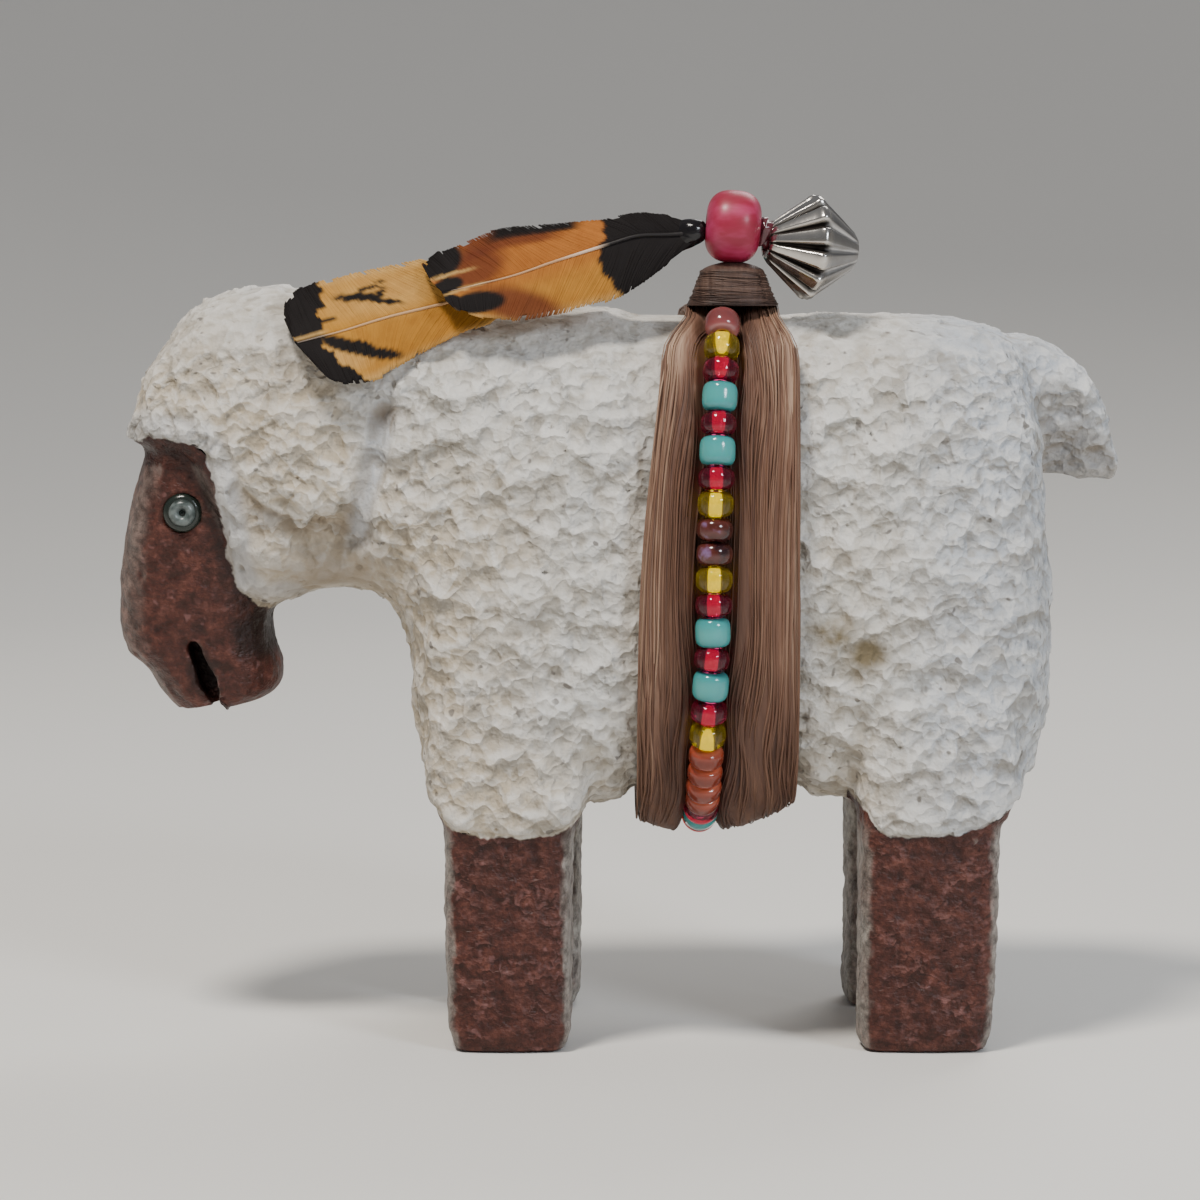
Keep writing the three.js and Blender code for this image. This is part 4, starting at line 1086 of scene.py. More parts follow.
class SHEEP_OT_sinew(bpy.types.Operator):
    """Wind the strands of sinew round the belly"""

    bl_idname = "sheep.sinew"
    bl_label = "Wind the sinew"

    def execute(self, context):
        settings = context.scene.sheep_sinew_settings
        draws = np.random.default_rng(SEED + 2)
        turn = even_turns(SINEW_STEPS)
        parts = Parts()
        self.layer(parts, turn, settings.columns)
        for share in np.linspace(0.0, 1.0, settings.strands):
            radius = settings.thickness * draws.uniform(0.5, 1.5)
            phase = draws.uniform(0, 2 * math.pi, 4)
            drift = (0.020 * np.sin(turn + phase[0]) + 0.014 * np.sin(2 * turn + phase[1])
                     + 0.008 * np.sin(5 * turn + phase[2]) + 0.004 * np.sin(13 * turn + phase[3]))
            place = np.clip(share + draws.normal(0, 0.008) + drift, 0.0, 1.0)
            sunk = 0.15 + 0.07 * np.sin(3 * turn + phase[1]) + 0.06 * np.sin(8 * turn + phase[0])
            path = wrap_path(turn, place, -sunk)
            tone = draws.normal(0.52, 0.07) + 0.08 * np.sin(4 * turn + phase[2])
            tone = np.clip(tone * self.painted_light_share(turn, path[:, 0]), 0.03, 1)
            shape = tube(path, radius * (1 - 0.3 * gather(turn)), 4, closed=True, flat=0.7)
            parts.add(shape, 0, tone=np.repeat(tone, 4))
        strands = sinew_look("sinew_strands", settings.colour, (0.47, 0.315, 0.215), (0.045, 0.018, 0.014))
        piece_from(parts, "sinew_strands", [strands], "sinew_wrap")
        return {"FINISHED"}

    def painted_light_share(self, turn, x):
        """How light the sinew is, with light and shade painted in: painted shade beside the beads, towards
        the wrap's rear and under the belly, and painted light on top of the near side.
        """
        near_beads = np.exp(-((np.abs(x - strand_x(turn)) / 2.7) ** 3))
        low = smoothstep(0.35, -0.9, np.cos(turn))
        high = smoothstep(0.2, 0.8, np.cos(turn)) * (np.sin(turn) > 0)
        near_beads = near_beads + 0.12 * smoothstep(1.5, 3.5, x - strand_x(turn))
        return (1 - 0.72 * near_beads) * (1 - 0.26 * low + 0.42 * high * (1 - near_beads))

    def layer(self, parts, turn, columns):
        """The thick layer of lengthwise fibres, as one closed band."""
        share = np.concatenate([[0.0, 0.0], np.linspace(0, 1, columns), [1.0, 1.0]])
        edge = np.concatenate([[1.0, 0.55], np.zeros(columns), [0.55, 1.0]])
        turns, shares = np.meshgrid(turn, share, indexing="ij")
        run = turns * SINEW_RUN
        across = shares * SINEW_WIDTH
        wander = 1.3 * fibre_noise(across, run, 4.0, 14.0, 41) + 0.6 * fibre_noise(across, run, 1.5, 7.0, 43)
        across = across + wander
        bundle = fibre_noise(across, run, 1.1, 13.0, 45)
        fibre = fibre_noise(across, run, 0.34, 9.0, 47)
        hair = fibre_noise(across, run, 0.12, 6.0, 49)
        lift = 0.11 * bundle + 0.035 * fibre + 0.02 * hair - 0.12
        rounding = np.minimum(shares, 1 - shares) / 0.10
        x = across_wrap(turns.ravel(), shares.ravel())
        height = sinew_height(turns.ravel(), x)
        held = 0.62 + 0.38 * np.sqrt(np.clip(1 - (1 - np.clip(rounding.ravel(), 0, 1)) ** 2, 0, 1))
        lift = (height * held + lift.ravel()) * (1 - np.tile(edge, len(turn)))
        y, z = waist_points(turns.ravel(), CLEARANCE + lift)
        points = np.column_stack([x, y, np.minimum(z, COLLAR_BOTTOM_Z - 0.1)])
        lock = fibre_noise(across, run, 1.9, 10.0, 51)
        tone = 0.50 + 0.20 * lock + 0.13 * bundle + 0.08 * fibre + 0.05 * hair
        tone = tone.ravel() * self.painted_light_share(turns.ravel(), x)
        parts.add((points, grid_faces(len(turn), len(share), wrap_rows=True)), 0, tone=np.clip(tone, 0.02, 1))


class SHEEP_OT_collar(bpy.types.Operator):
    """Bind the gathered sinew into the collar"""

    bl_idname = "sheep.collar"
    bl_label = "Bind the collar"

    def execute(self, context):
        settings = context.scene.sheep_sinew_settings
        draws = np.random.default_rng(SEED + 3)
        height = COLLAR_TOP_Z - COLLAR_BOTTOM_Z
        taper = COLLAR_TOP_HALF - 0.15 - COLLAR_BOTTOM_HALF

        def half_at(share):
            return COLLAR_BOTTOM_HALF + taper * np.clip(share, 0, 1) ** 0.85

        def around(turn, share, out):
            half = half_at(share)
            x = COLLAR_X + signed_power(np.cos(turn), 2 / 2.3) * (half + out)
            y = BUNDLE_Y + signed_power(np.sin(turn), 2 / 2.3) * (half * 0.85 + out)
            return np.column_stack([x, y, np.broadcast_to(COLLAR_BOTTOM_Z + height * share, x.shape)])

        sides = 96
        rows = np.concatenate([[-0.02], np.linspace(-0.03, 1.14, 44)])
        share, turn = (grid.ravel() for grid in np.meshgrid(
            rows, 2 * math.pi * np.arange(sides) / sides, indexing="ij"))
        inwards = 1.7 * (np.clip(share - 0.86, 0, 1) / 0.28) ** 2.2
        inwards = np.where(np.arange(len(share)) < sides, 1.6, inwards)
        place = around(turn, share, 0.0)
        streak = lattice_noise(place * (0.3, 0.3, 2.6), 1.0, 81)
        streak = streak + 0.6 * lattice_noise(place * (0.5, 0.5, 6.0), 1.0, 82)
        points = around(turn, share, -0.05 - inwards + 0.06 * streak)
        ends = [(COLLAR_X, BUNDLE_Y, COLLAR_BOTTOM_Z), (COLLAR_X, BUNDLE_Y, COLLAR_TOP_Z + 0.3)]
        last = len(points)
        faces = grid_faces(len(rows), sides)
        for k in range(sides):
            faces.append((last, (k + 1) % sides, k))
            faces.append((last + 1, last - sides + k, last - sides + (k + 1) % sides))
        # Darker towards the bottom: painted shade where the collar sits on the wrap
        tone = np.clip((0.42 + 0.16 * streak) * (0.5 + 0.5 * smoothstep(-0.05, 0.25, share)), 0.05, 1)
        parts = Parts()
        parts.add((np.vstack([points, ends]), faces), 0, tone=np.concatenate([tone, [0.2, 0.2]]))
        for _ in range(4):
            count = settings.windings * 40
            windings = settings.windings * draws.uniform(0.5, 0.9)
            turn = np.linspace(0, 2 * math.pi * windings, count) + draws.uniform(0, 6)
            lean = draws.uniform(-0.16, 0.16)
            share = np.linspace(0.02, 0.86, count) + lean * np.sin(turn + draws.uniform(0, 6))
            share = np.clip(share + 0.03 * np.sin(turn * 2.3), 0.01, 0.9)
            radius = draws.uniform(0.04, 0.08)
            path = around(turn, share, -0.06 + 0.04 * np.sin(turn * 0.37 + draws.uniform(0, 6)))
            tone = np.clip(0.38 + 0.15 * np.sin(turn * 0.31 + draws.uniform(0, 6)), 0.05, 1)
            # Painted shade, darker towards the bottom
            tone = tone * (0.45 + 0.55 * smoothstep(0.0, 0.35, share))
            tone = np.concatenate([np.repeat(tone, 5), tone[:1], tone[-1:]])
            parts.add(tube(path, radius, 5), 0, tone=tone)
        bound = sinew_look("collar_sinew", (0.075, 0.042, 0.031), (0.24, 0.155, 0.115), (0.014, 0.007, 0.006))
        piece_from(parts, "collar_windings", [bound], "sinew_collar")
        return {"FINISHED"}


# The two large beads


def barrel(radius, length, hole, square_out=2.4, square_along=2.6, steps=22):
    """The outline of a rounded glass bead, hole and all, as (radius, height) in a loop."""
    along = np.sin(np.linspace(-math.pi / 2, math.pi / 2, steps)) * length / 2
    out = hole + (radius - hole) * (1 - np.abs(2 * along / length) ** square_along) ** (1 / square_out)
    outer = list(zip(out, along))
    wall = [(hole, z) for z in np.linspace(length / 2, -length / 2, 6)[1:-1]]
    return outer + wall


class LargeBeadSettings(bpy.types.PropertyGroup):
    red: bpy.props.FloatVectorProperty(
        name="Red", description="Colour of the red bead", subtype="COLOR", default=(0.27, 0.006, 0.034))
    silver: bpy.props.FloatVectorProperty(
        name="Silver", description="Colour of the polished silver", subtype="COLOR",
        default=(0.56, 0.535, 0.50))


class SHEEP_OT_large_beads(bpy.types.Operator):
    """Make the lustrous red bead, the fluted silver bead and the cord through them"""

    bl_idname = "sheep.large_beads"
    bl_label = "Make the large beads"

    def execute(self, context):
        settings = context.scene.sheep_large_bead_settings
        red = Look("pearl_red_glass", settings.red, Roughness=0.5, Coat_Weight=0.3, Coat_Roughness=0.28,
                   Specular_IOR_Level=0.4)
        bands = red.noise(420, 4, 0.6, stretch=(0.3, 1, 1))
        red.colour(red.ramp(bands, [
            (0.32, (0.20, 0.003, 0.014)), (0.5, settings.red), (0.68, (0.42, 0.04, 0.12))]))
        red.bump(bands, 0.04)
        axis = (1, 0, -RED_TILT)
        parts = Parts()
        outline = barrel(RED_RADIUS + 0.03, RED_LENGTH + 0.1, 0.85, 2.2, 2.7, 30)
        parts.add(lathe(outline, 64, axis, RED_CENTRE))
        piece_from(parts, "red_pearl_bead", [red.material], "red_bead")

        silver = Look("polished_silver", settings.silver, Metallic=1.0, Roughness=0.22)
        dark = silver.ramp(silver.attribute("groove"), [(0.15, settings.silver), (0.7, (0.02, 0.017, 0.015))])
        # On the rear cone the grooves are painted lighter and the ridges darker: painted reflection that
        # evens out the dark of its deep grooves
        rear_painted_reflection = silver.ramp(silver.attribute("groove"), [
            (0.2, (0.27, 0.265, 0.265)), (0.7, (0.66, 0.65, 0.64))])
        dark = silver.mix(silver.attribute("rear"), dark, rear_painted_reflection)
        tarnish = silver.ramp(silver.noise(700, 4), [(0.45, 0.0), (0.8, 0.35)])
        silver.colour(silver.mix(tarnish, dark, (0.16, 0.13, 0.11)))
        silver.gloss(silver.mix(silver.attribute("rear"), silver.ramp(
            silver.attribute("groove"), [(0.2, 0.2), (0.9, 0.6)]), (0.32, 0.32, 0.32)))
        silver.bump(silver.noise(600, 3), 0.035)
        axis = unit(SILVER_AXIS)
        across = unit(np.cross([0, 1, 0], axis))
        up = np.cross(axis, across)
        turns = SILVER_FLUTES * 20
        half = SILVER_LENGTH / 2
        cone = [(z, SILVER_END_RADIUS + (SILVER_RADIUS - SILVER_END_RADIUS) * (1 - z / half))
                for z in np.linspace(0.42, half - 0.3, 9)]
        cone.append((half - 0.12, SILVER_END_RADIUS))
        cone += [(half, SILVER_END_RADIUS * share) for share in (0.9, 0.55)]
        rows = [(-z, radius) for z, radius in cone[::-1]]
        rows += [(-0.25, SILVER_RADIUS * 0.965), (0.0, SILVER_RADIUS * 0.985), (0.25, SILVER_RADIUS * 0.965)]
        rows += cone
        turn = 2 * math.pi * np.arange(turns) / turns
        share = np.abs(((turn * SILVER_FLUTES / (2 * math.pi)) % 1.0) - 0.5) * 2
        groove = smoothstep(0.52, 0.92, share)
        points, grooves, rear = [], [], []
        for z, radius in rows:
            rear.append(np.full(turns, 0.85 * smoothstep(0.1, 0.8, z)))
            depth = (0.15 - 0.07 * (z > 0)) * smoothstep(0.0, 0.35, radius - SILVER_END_RADIUS) + 0.015
            arch = 0.025 * radius * (1 - share**2)
            reach = radius * (1 - depth * groove) + arch * smoothstep(0.3, 1.2, radius - SILVER_END_RADIUS)
            points.append(SILVER_CENTRE + z * axis + reach[:, None] * (
                np.cos(turn)[:, None] * across + np.sin(turn)[:, None] * up))
            grooves.append(groove)
        parts = Parts()
        parts.add((np.vstack(points), grid_faces(len(rows), turns, wrap_rows=True)), 0,
                  groove=np.concatenate(grooves), rear=np.concatenate(rear))
        piece_from(parts, "fluted_silver_bead", [silver.material], "silver_bead")

        cord = Look("bead_glue_cord", (0.09, 0.014, 0.022), Roughness=0.15, Coat_Weight=0.4)
        cord.bump(cord.noise(700, 2), 0.06)
        red_axis = unit(np.array([1, 0, -RED_TILT]))
        path = [RED_CENTRE - red_axis * 1.8, RED_CENTRE, RED_CENTRE + red_axis * 1.7,
                RED_CENTRE + red_axis * 2.35 + (0, 0.02, -0.1), SILVER_CENTRE - axis * (half + 0.25),
                SILVER_CENTRE - axis * (half - 0.4), SILVER_CENTRE, SILVER_CENTRE + axis * (half - 0.1)]
        path = catmull_rom(path, np.linspace(0, 1, 50))
        away = np.linalg.norm(path - (RED_CENTRE + red_axis * 2.4), axis=1)
        radii = 0.36 + 0.62 * np.exp(-((away / 0.75) ** 2))
        parts = Parts()
        parts.add(tube(path, radii, 20))
        end = SILVER_CENTRE + axis * (half + 0.02)
        parts.add(lathe([(0.0, -0.3), (0.42, -0.3), (0.5, -0.02), (0.3, 0.16), (0.0, 0.2)], 20, axis, end))
        piece_from(parts, "glued_bead_cord", [cord.material], "bead_cord")
        return {"FINISHED"}


# The strand of seed beads


def strand_run():
    """The line of the strand, with the length run at each point of it."""
    turn = np.linspace(STRAND_START * math.pi, STRAND_END * math.pi, CURVE_POINTS)
    offset = CLEARANCE * 2 + SINEW_UNDER_BEADS + SEED_RADIUS + gather(turn) * 0.6
    points = np.column_stack([strand_x(turn), *waist_points(turn, offset)])
    run = np.concatenate([[0], np.cumsum(np.linalg.norm(np.diff(points, axis=0), axis=1))])
    return points, run


def strand_at(line, length):
    points, run = line
    return np.array([np.interp(length, run, points[:, axis]) for axis in range(3)])


def seed_looks():
    """Materials of each kind of seed bead: the glass and, where it has one, its bright lining, which glows as
    painted light.
    """
    def glass(name, colour):
        return Look(name, colour, Roughness=0.04, Transmission_Weight=0.92, IOR=1.45).material

    def lining(name, dark, bright, painted_glow):
        # The lining glows: painted light that keeps it bright whatever the lamps
        look = Look(name, bright, Roughness=0.3, Emission_Strength=painted_glow)
        look.shader.inputs["Emission Color"].default_value = (*bright, 1)
        look.colour(look.ramp(look.noise(900, 3), [(0.42, dark), (0.54, bright)]))
        look.bump(look.noise(900, 2), 0.08)
        return look.material

    def solid(name, dark, middle, bright):
        look = Look(name, middle, Roughness=0.16, Coat_Weight=0.5, Specular_IOR_Level=0.4,
                    Subsurface_Weight=0.2, Subsurface_Scale=0.0005)
        # Colour by the rim mark, painted light and shade: darker towards the ends and in the hole, except
        # rose and orange, whose mark is turned round and paints their ends lighter
        look.colour(look.ramp(look.attribute("rim"), [(0.0, bright), (0.45, middle), (0.95, dark)]))
        look.bump(look.noise(600, 2), 0.03)
        return look.material

    brown = Look("brown_glass_painted_sheen", (0.05, 0.010, 0.010), Roughness=0.15, Coat_Weight=0.3)
    # Lavender patches: painted sheen standing in for the lustre's glints
    brown.colour(brown.ramp(brown.noise(650, 3), [
        (0.36, (0.018, 0.004, 0.006)), (0.52, (0.07, 0.014, 0.009)), (0.60, (0.09, 0.020, 0.018)),
        (0.72, (0.20, 0.12, 0.24))]))
    return {
        "turquoise": [solid("turquoise_glass", (0.03, 0.20, 0.20), (0.045, 0.29, 0.29), (0.065, 0.34, 0.33))],
        "brown": [brown.material],
        "yellow": [glass("amber_glass", (0.66, 0.50, 0.008)),
                   lining("yellow_lining_painted_glow", (0.26, 0.16, 0.0), (0.86, 0.80, 0.0), 1.8)],
        "red": [glass("ruby_glass", (0.42, 0.014, 0.075)),
                lining("red_lining_painted_glow", (0.28, 0.01, 0.07), (0.84, 0.07, 0.28), 1.3)],
        "rose": [solid("rose_glass", (0.10, 0.022, 0.022), (0.22, 0.055, 0.055), (0.33, 0.12, 0.115))],
        "orange": [solid("orange_glass", (0.10, 0.012, 0.006), (0.26, 0.040, 0.018), (0.46, 0.115, 0.06))],
    }


class SeedBeadSettings(bpy.types.PropertyGroup):
    radius: bpy.props.FloatProperty(
        name="Radius", description="Radius of a seed bead, in millimetres", default=SEED_RADIUS + 0.02)
    hole: bpy.props.FloatProperty(
        name="Hole", description="Radius of a bead's hole, in millimetres", default=0.5)
    sides: bpy.props.IntProperty(name="Sides", description="Sides of a turned bead", default=40)


class SHEEP_OT_seed_beads(bpy.types.Operator):
    """String the glass seed beads round the sheep"""

    bl_idname = "sheep.seed_beads"
    bl_label = "String the seed beads"

    def execute(self, context):
        settings = context.scene.sheep_seed_settings
        line = strand_run()
        looks = seed_looks()
        kinds = SIDE_PATTERN + BELLY_PATTERN + SIDE_PATTERN[::-1] + BACK_PATTERN
        draws = np.random.default_rng(SEED + 4)
        fused_from = len(SIDE_PATTERN) + 1
        fused, fused_materials = Parts(), []
        run, number = 0.0, 0
        for index, kind in enumerate(kinds):
            pitch = SEED_PITCH[kind]
            if run + pitch > line[1][-1]:
                break
            start, end = strand_at(line, run), strand_at(line, run + pitch)
            run += pitch
            joined = fused_from <= index < fused_from + FUSED_BEADS
            parts = fused if joined else Parts()
            if joined:
                for material in looks[kind]:
                    if material not in fused_materials:
                        fused_materials.append(material)
            first = fused_materials.index(looks[kind][0]) if joined else 0
            self.bead(parts, kind, (start + end) / 2, end - start, settings, draws, first)
            if not joined:
                number += 1
                name = f"{number:02d}"
                piece_from(parts, f"seed_{name}_{kind}", looks[kind], f"bead_{name}")
        piece_from(fused, "seeds_under_belly", fused_materials, "beads_under_belly")

        thread = Look("seed_thread", (0.05, 0.014, 0.012), Roughness=0.6)
        thread.bump(thread.noise(1500, 2), 0.03)
        path = [strand_at(line, length) for length in np.linspace(0, run, 220)]
        parts = Parts()
        parts.add(tube(path, 0.2, 8))
        piece_from(parts, "seed_strand_thread", [thread.material], "bead_thread")
        return {"FINISHED"}

    def bead(self, parts, kind, centre, axis, settings, draws, first):
        pitch = SEED_PITCH[kind]
        length = pitch - 0.05
        radius = settings.radius * draws.uniform(0.975, 1.02)
        tilt = axis + np.linalg.norm(axis) * draws.normal(0, 0.03, 3)
        squareness = {"turquoise": (3.0, 3.4), "orange": (2.6, 3.2)}.get(kind, (2.3, 2.6))
        outline = barrel(radius, length, settings.hole, *squareness)
        shape = lathe(outline, settings.sides, tilt, centre)
        # The rim mark: 0 round the bead's middle, 1 at its ends and in its hole, for painted shade where the
        # beads meet; rose and orange have it turned round, for painted light at their ends standing in for
        # light through the glass
        rim = np.repeat([abs(height) / (length / 2) for _, height in outline], settings.sides)
        rim = np.where(np.repeat([reach for reach, _ in outline], settings.sides) < radius * 0.8, 1.0, rim**2)
        if kind in ("rose", "orange"):
            rim = 0.75 - 0.75 * rim
        parts.add(shape, first, rim=rim)
        if kind in ("yellow", "red"):
            inner = settings.hole - 0.01
            reach = length / 2 - 0.03
            lining = [(inner, -reach), (inner, reach), (inner - 0.15, reach), (inner - 0.15, -reach)]
            parts.add(lathe(lining, 12, tilt, centre), first + 1, rim=0.0)


# The feathers

# Rows of upper edge, shaft and lower edge from the binding to the tip, as in the solids
LONG_FEATHER = [
    [(2.5, -8.6, 61.5), (2.5, -8.9, 60.9), (2.5, -9.3, 60.2)],
    [(-2.2, -8.6, 61.4), (-2.2, -9.4, 59.5), (-2.2, -10.1, 57.2)],
    [(-7.5, -8.8, 60.9), (-7.5, -9.8, 57.9), (-6.7, -10.9, 55.6)],
    [(-12.7, -8.8, 59.9), (-12.3, -10.3, 56.4), (-11.2, -11.7, 54.2)],
    [(-18.0, -8.6, 58.8), (-17.2, -10.8, 55.2), (-15.6, -12.3, 52.0)],
    [(-21.4, -8.4, 58.1), (-20.5, -11.0, 54.2), (-17.9, -12.8, 50.7)],
    [(-23.7, -8.3, 57.4), (-22.8, -11.2, 53.6), (-19.7, -13.0, 50.3)],
    [(-24.9, -8.8, 56.4), (-24.0, -11.5, 53.3), (-21.5, -13.2, 50.7)],
    [(-25.1, -9.4, 55.0), (-24.1, -11.7, 53.4), (-23.2, -13.3, 52.5)],
]
SHORT_FEATHER = [
    [(5.5, -9.5, 62.1), (5.5, -9.8, 61.4), (5.5, -10.0, 60.7)],
    [(3.8, -9.5, 62.7), (3.8, -9.9, 61.3), (3.8, -10.3, 59.3)],
    [(1.3, -9.6, 62.9), (1.3, -10.3, 61.2), (1.3, -11.2, 57.5)],
    [(-1.5, -9.7, 62.4), (-1.1, -10.7, 60.5), (-0.6, -11.8, 56.5)],
    [(-5.6, -9.9, 62.0), (-4.9, -11.1, 59.3), (-4.1, -12.5, 55.6)],
    [(-9.3, -10.0, 61.6), (-7.8, -11.4, 58.3), (-7.1, -12.9, 55.1)],
    [(-12.3, -10.0, 60.4), (-10.6, -11.6, 57.6), (-9.5, -13.1, 55.1)],
    [(-13.6, -10.0, 59.9), (-11.9, -11.9, 57.3), (-10.8, -13.3, 55.4)],
    [(-14.7, -10.0, 59.0), (-13.4, -12.1, 57.0), (-12.1, -13.5, 55.8)],
]

# Levels of the wax from the beads' end to the feathers' end: x, z, half height and half depth
BINDING_LEVELS = [
    (6.45, 61.6, 0.4, 0.4), (6.2, 61.55, 0.75, 0.65), (5.6, 61.45, 1.0, 0.85), (5.0, 61.3, 1.12, 0.8),
    (4.4, 61.15, 1.15, 0.5), (3.6, 61.0, 1.0, 0.25), (2.6, 60.8, 0.8, 0.15), (1.6, 60.6, 0.4, 0.1)]

GOLD = np.array([0.44, 0.205, 0.030])
PALE_GOLD = np.array([0.56, 0.345, 0.12])
ORANGE_GOLD = np.array([0.36, 0.125, 0.024])
RUST = np.array([0.12, 0.028, 0.012])
FEATHER_BLACK = np.array([0.009, 0.007, 0.007])


def blot(place, centre, half, tilt=0.0, edge=0.12):
    """Share of an oval mark over places in the side view, its edge a little soft."""
    rel = place - centre
    turned = np.column_stack([rel[:, 0] * math.cos(tilt) + rel[:, 1] * math.sin(tilt),
                              rel[:, 1] * math.cos(tilt) - rel[:, 0] * math.sin(tilt)]) / half
    return smoothstep(1 + edge, 1 - edge, np.hypot(*turned.T))


def paint(base, colour, share):
    return base + (colour - base) * np.clip(share, 0, 1)[:, None]


def long_feather_colour(place, across):
    """Golden with a black band at the tip and dark streaks. across is -1 above and 1 below."""
    tint = paint(np.tile(GOLD, (len(place), 1)), PALE_GOLD, 0.8 * smoothstep(0.78, 1.0, np.abs(across)))
    tint = paint(tint, GOLD * (0.72, 0.62, 0.5), 0.55 * blot(place, (-14.5, 54.2), (5.5, 1.9), 0.3, 0.6))
    tint = paint(tint, PALE_GOLD, 0.45 * blot(place, (-17.5, 57.0), (5.0, 1.5), 0.2, 0.6))
    tint = paint(tint, PALE_GOLD * 1.1, 0.5 * blot(place, (-20.5, 52.2), (2.0, 1.0), 0.0, 0.6))
    marks = (((-19.0, 57.25), (1.5, 0.16), 0.45), ((-19.6, 56.65), (1.9, 0.30), 0.05),
             ((-17.4, 56.35), (1.3, 0.20), -0.05), ((-17.9, 57.0), (0.5, 0.25), 0.9),
             ((-22.3, 54.85), (1.2, 0.14), 0.2), ((-20.6, 53.15), (1.8, 0.50), -0.28),
             ((-18.0, 52.55), (1.9, 0.42), -0.10), ((-19.2, 53.2), (0.9, 0.25), -0.2))
    for centre, half, tilt in marks:
        tint = paint(tint, FEATHER_BLACK, blot(place, centre, half, tilt, 0.25))
    edge = np.interp(place[:, 1], [50.2, 51.0, 52.0, 53.0, 53.7, 54.4, 55.4, 56.4, 57.6, 58.6],
                     [-17.9, -19.3, -20.9, -21.9, -22.3, -22.0, -22.5, -22.2, -22.6, -22.1])
    edge = edge + 0.22 * np.sin(place[:, 1] * 5.3) + 0.12 * np.sin(place[:, 1] * 11.0 + 1)
    tint = paint(tint, FEATHER_BLACK, smoothstep(0.10, -0.10, place[:, 0] - edge))
    return paint(tint, PALE_GOLD, 0.75 * blot(place, (-23.3, 53.75), (1.5, 0.14), 0.22, 0.35))


def short_feather_colour(place, across):
    """Orange gold with rust and black marks at the tip and a black base."""
    tint = paint(np.tile(ORANGE_GOLD, (len(place), 1)), GOLD * 0.9, smoothstep(-0.1, 0.5, across) * 0.75)
    tint = paint(tint, PALE_GOLD, 0.6 * smoothstep(0.8, 1.0, across))
    tint = paint(tint, RUST, 0.85 * smoothstep(-0.52, -0.66, across) * smoothstep(-14, -11, place[:, 0])
                 * smoothstep(-3.5, -6.0, place[:, 0]))
    tint = paint(tint, RUST, 0.85 * blot(place, (-10.6, 58.8), (2.2, 1.3), 0.5, 0.4))
    tint = paint(tint, RUST, 0.9 * blot(place, (-7.3, 56.0), (3.4, 1.3), -0.25, 0.4))
    marks = (((-13.3, 59.3), (1.6, 1.25), 0.5), ((-12.8, 57.5), (1.2, 0.62), 0.3),
             ((-10.5, 56.3), (2.0, 0.8), 0.12), ((-14.2, 58.6), (0.8, 0.6), 0.0),
             ((-12.6, 56.4), (0.9, 0.5), 0.0))
    for centre, half, tilt in marks:
        tint = paint(tint, FEATHER_BLACK, blot(place, centre, half, tilt, 0.16))
    for centre, half, tilt in (((-12.6, 58.35), (1.7, 0.14), 0.28), ((-11.4, 57.35), (1.8, 0.11), 0.32)):
        tint = paint(tint, PALE_GOLD, 0.8 * blot(place, centre, half, tilt, 0.4))
    tint = paint(tint, FEATHER_BLACK, smoothstep(-0.74, -0.84, across) * smoothstep(-10.5, -9.0, place[:, 0])
                 * smoothstep(-2.6, -3.8, place[:, 0]))
    edge = np.interp(place[:, 1], [56.0, 57.4, 58.8, 60.3, 61.3, 62.6], [0.5, -0.4, -1.5, -1.6, -1.1, -1.5])
    edge = edge + 0.15 * np.sin(place[:, 1] * 6.0)
    return paint(tint, FEATHER_BLACK, smoothstep(-0.12, 0.12, place[:, 0] - edge))


class FeatherSettings(bpy.types.PropertyGroup):
    barb_width: bpy.props.FloatProperty(
        name="Barb width", description="Width of a barb, in millimetres", default=0.11)
    barb_slant: bpy.props.FloatProperty(
        name="Barb slant", description="How far a barb leans to the tip, as a share of the length",
        default=0.13)


